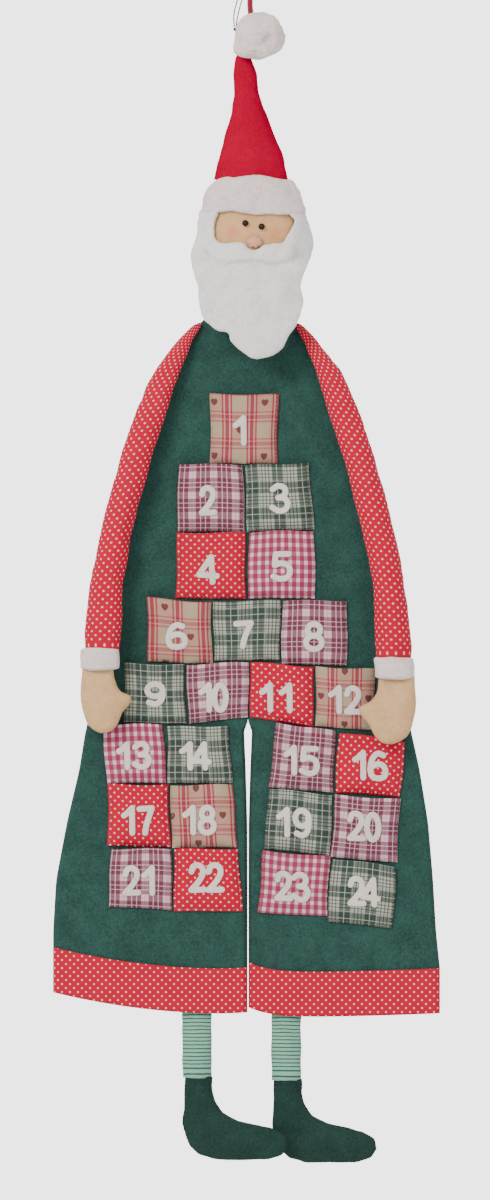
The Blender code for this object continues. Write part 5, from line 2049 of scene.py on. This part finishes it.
# Strokes in shares of a digit's width and height, from its lower left
DIGIT_STROKE_SHARES = {
    "0": (oval(0.5, 0.5, 0.5, 0.5),),
    "1": (swung((0.0, 0.70), (0.35, 0.80), (0.85, 1.0)), [(0.85, 1.0), (0.88, 0.0)]),
    "2": (
        swung((0.04, 0.74), (0.16, 0.93), (0.48, 1.0), (0.82, 0.90), (0.88, 0.66), (0.60, 0.36), (0.02, 0.0)),
        [(0.02, 0.0), (1.0, 0.02)],
    ),
    "3": (
        swung((0.04, 0.86), (0.36, 1.0), (0.76, 0.93), (0.84, 0.72), (0.62, 0.56), (0.38, 0.53)),
        swung((0.38, 0.53), (0.78, 0.50), (1.0, 0.29), (0.82, 0.06), (0.42, 0.0), (0.02, 0.14)),
    ),
    "4": ([(0.68, 1.0), (0.0, 0.29), (1.0, 0.24)], [(0.68, 1.0), (0.76, 0.0)]),
    "5": (
        [(0.94, 1.0), (0.16, 0.99), (0.10, 0.55)],
        swung((0.10, 0.55), (0.48, 0.63), (0.88, 0.54), (1.0, 0.30), (0.84, 0.07), (0.44, 0.0), (0.02, 0.10)),
    ),
    "6": (
        swung((0.86, 0.94), (0.50, 1.0), (0.16, 0.78), (0.02, 0.36), (0.16, 0.07), (0.52, 0.0)),
        swung((0.52, 0.0), (0.90, 0.08), (1.0, 0.30), (0.86, 0.52), (0.50, 0.58), (0.12, 0.46)),
    ),
    "7": ([(0.0, 0.96), (1.0, 1.0)], swung((1.0, 1.0), (0.74, 0.62), (0.56, 0.32), (0.46, 0.0))),
    "8": (oval(0.5, 0.76, 0.40, 0.24), oval(0.5, 0.26, 0.50, 0.27)),
    "9": (
        oval(0.5, 0.69, 0.48, 0.31),
        swung((0.98, 0.69), (0.98, 0.40), (0.82, 0.12), (0.50, 0.0), (0.12, 0.08)),
    ),
}
PAIRED_WIDTH = {
    "0": 0.0175,
    "1": 0.0155,
    "2": 0.0195,
    "3": 0.0205,
    "4": 0.0210,
    "5": 0.0215,
    "6": 0.0215,
    "7": 0.0185,
    "8": 0.0195,
    "9": 0.0200,
}
NUMBER_HEIGHT = 0.0310
# The numbers that are cut lower than the others
HEIGHT_SHARES = {6: 0.91, 7: 0.94, 9: 0.84, 12: 0.96, 13: 0.94, 14: 0.96}
# Left edge, right edge and top of each number, measured from the nail
NUMBER_PLACES = {
    1: (-0.0175, -0.0020, -0.4450),
    2: (-0.0515, -0.0325, -0.5150),
    3: (0.0190, 0.0410, -0.5130),
    4: (-0.0540, -0.0300, -0.5840),
    5: (0.0200, 0.0430, -0.5810),
    6: (-0.0850, -0.0620, -0.6520),
    7: (-0.0170, 0.0040, -0.6500),
    8: (0.0530, 0.0750, -0.6510),
    9: (-0.1060, -0.0840, -0.7110),
    10: (-0.0520, -0.0210, -0.7120),
    11: (0.0090, 0.0440, -0.7120),
    12: (0.0780, 0.1130, -0.7150),
    13: (-0.1340, -0.0980, -0.7710),
    14: (-0.0710, -0.0380, -0.7710),
    15: (0.0330, 0.0700, -0.7750),
    16: (0.1020, 0.1385, -0.7800),
    17: (-0.1290, -0.0950, -0.8350),
    18: (-0.0680, -0.0330, -0.8345),
    19: (0.0260, 0.0620, -0.8370),
    20: (0.0965, 0.1315, -0.8410),
    21: (-0.1280, -0.0935, -0.8950),
    22: (-0.0620, -0.0250, -0.8920),
    23: (0.0240, 0.0610, -0.9010),
    24: (0.0970, 0.1310, -0.9060),
}

# %% Cutting the felt
STROKE_RADIUS = 0.0030
NUMBER_FELT = 0.0014
NUMBER_RIM = 0.0009
RIM_SHARE = 0.45
CELL = 0.0007
NUMBER_TILT_SHARE = 0.6


def number_strokes(number):
    """Return a number's strokes as lines of points in metres, in front view."""
    left, right, top = NUMBER_PLACES[number]
    height = NUMBER_HEIGHT * HEIGHT_SHARES.get(number, 1)
    digits = str(number)
    places = [(left, right)]
    if len(digits) > 1:
        first, second = (PAIRED_WIDTH[digit] for digit in digits)
        places = [(left, left + first), (right - second, right)]
    lean = NUMBER_TILT_SHARE * pockets[number].across[1] / pockets[number].across[0]
    middle = (left + right) / 2
    lines = []
    for digit, (start, end) in zip(digits, places):
        for stroke in DIGIT_STROKE_SHARES[digit]:
            shares = np.array(stroke)
            x = start + STROKE_RADIUS + shares[:, 0] * (end - start - 2 * STROKE_RADIUS)
            z = top - height + STROKE_RADIUS + shares[:, 1] * (height - 2 * STROKE_RADIUS)
            lines.append(np.column_stack([x, z + lean * (x - middle)]))
    return lines


def cut_number(number):
    """Cut one number from felt and lay it on its pocket."""
    lines = number_strokes(number)
    every = np.vstack(lines)
    flat, deep, faces, rim = cut_sheet(
        lambda spots: depth_in_strokes(spots, lines, STROKE_RADIUS),
        every.min(axis=0) - STROKE_RADIUS,
        every.max(axis=0) + STROKE_RADIUS,
        CELL,
    )
    pocket = pockets[number]
    u, v = pocket.shares(flat[:, 0], flat[:, 1])
    seat = pocket.face_y(np.clip(u, 0, 1), np.clip(v, 0, 1))
    near = np.clip(deep / NUMBER_RIM, 0, 1)
    lift = NUMBER_FELT * (RIM_SHARE + (1 - RIM_SHARE) * np.sqrt(1 - (1 - near) ** 2))
    name = f"number_{number:02d}"
    return thick_cut(name, flat, faces, rim, seat - lift, seat, number_felt, "doll")


for number in sorted(pockets):
    cut_number(number)
print("numbers cut:", len(pockets))
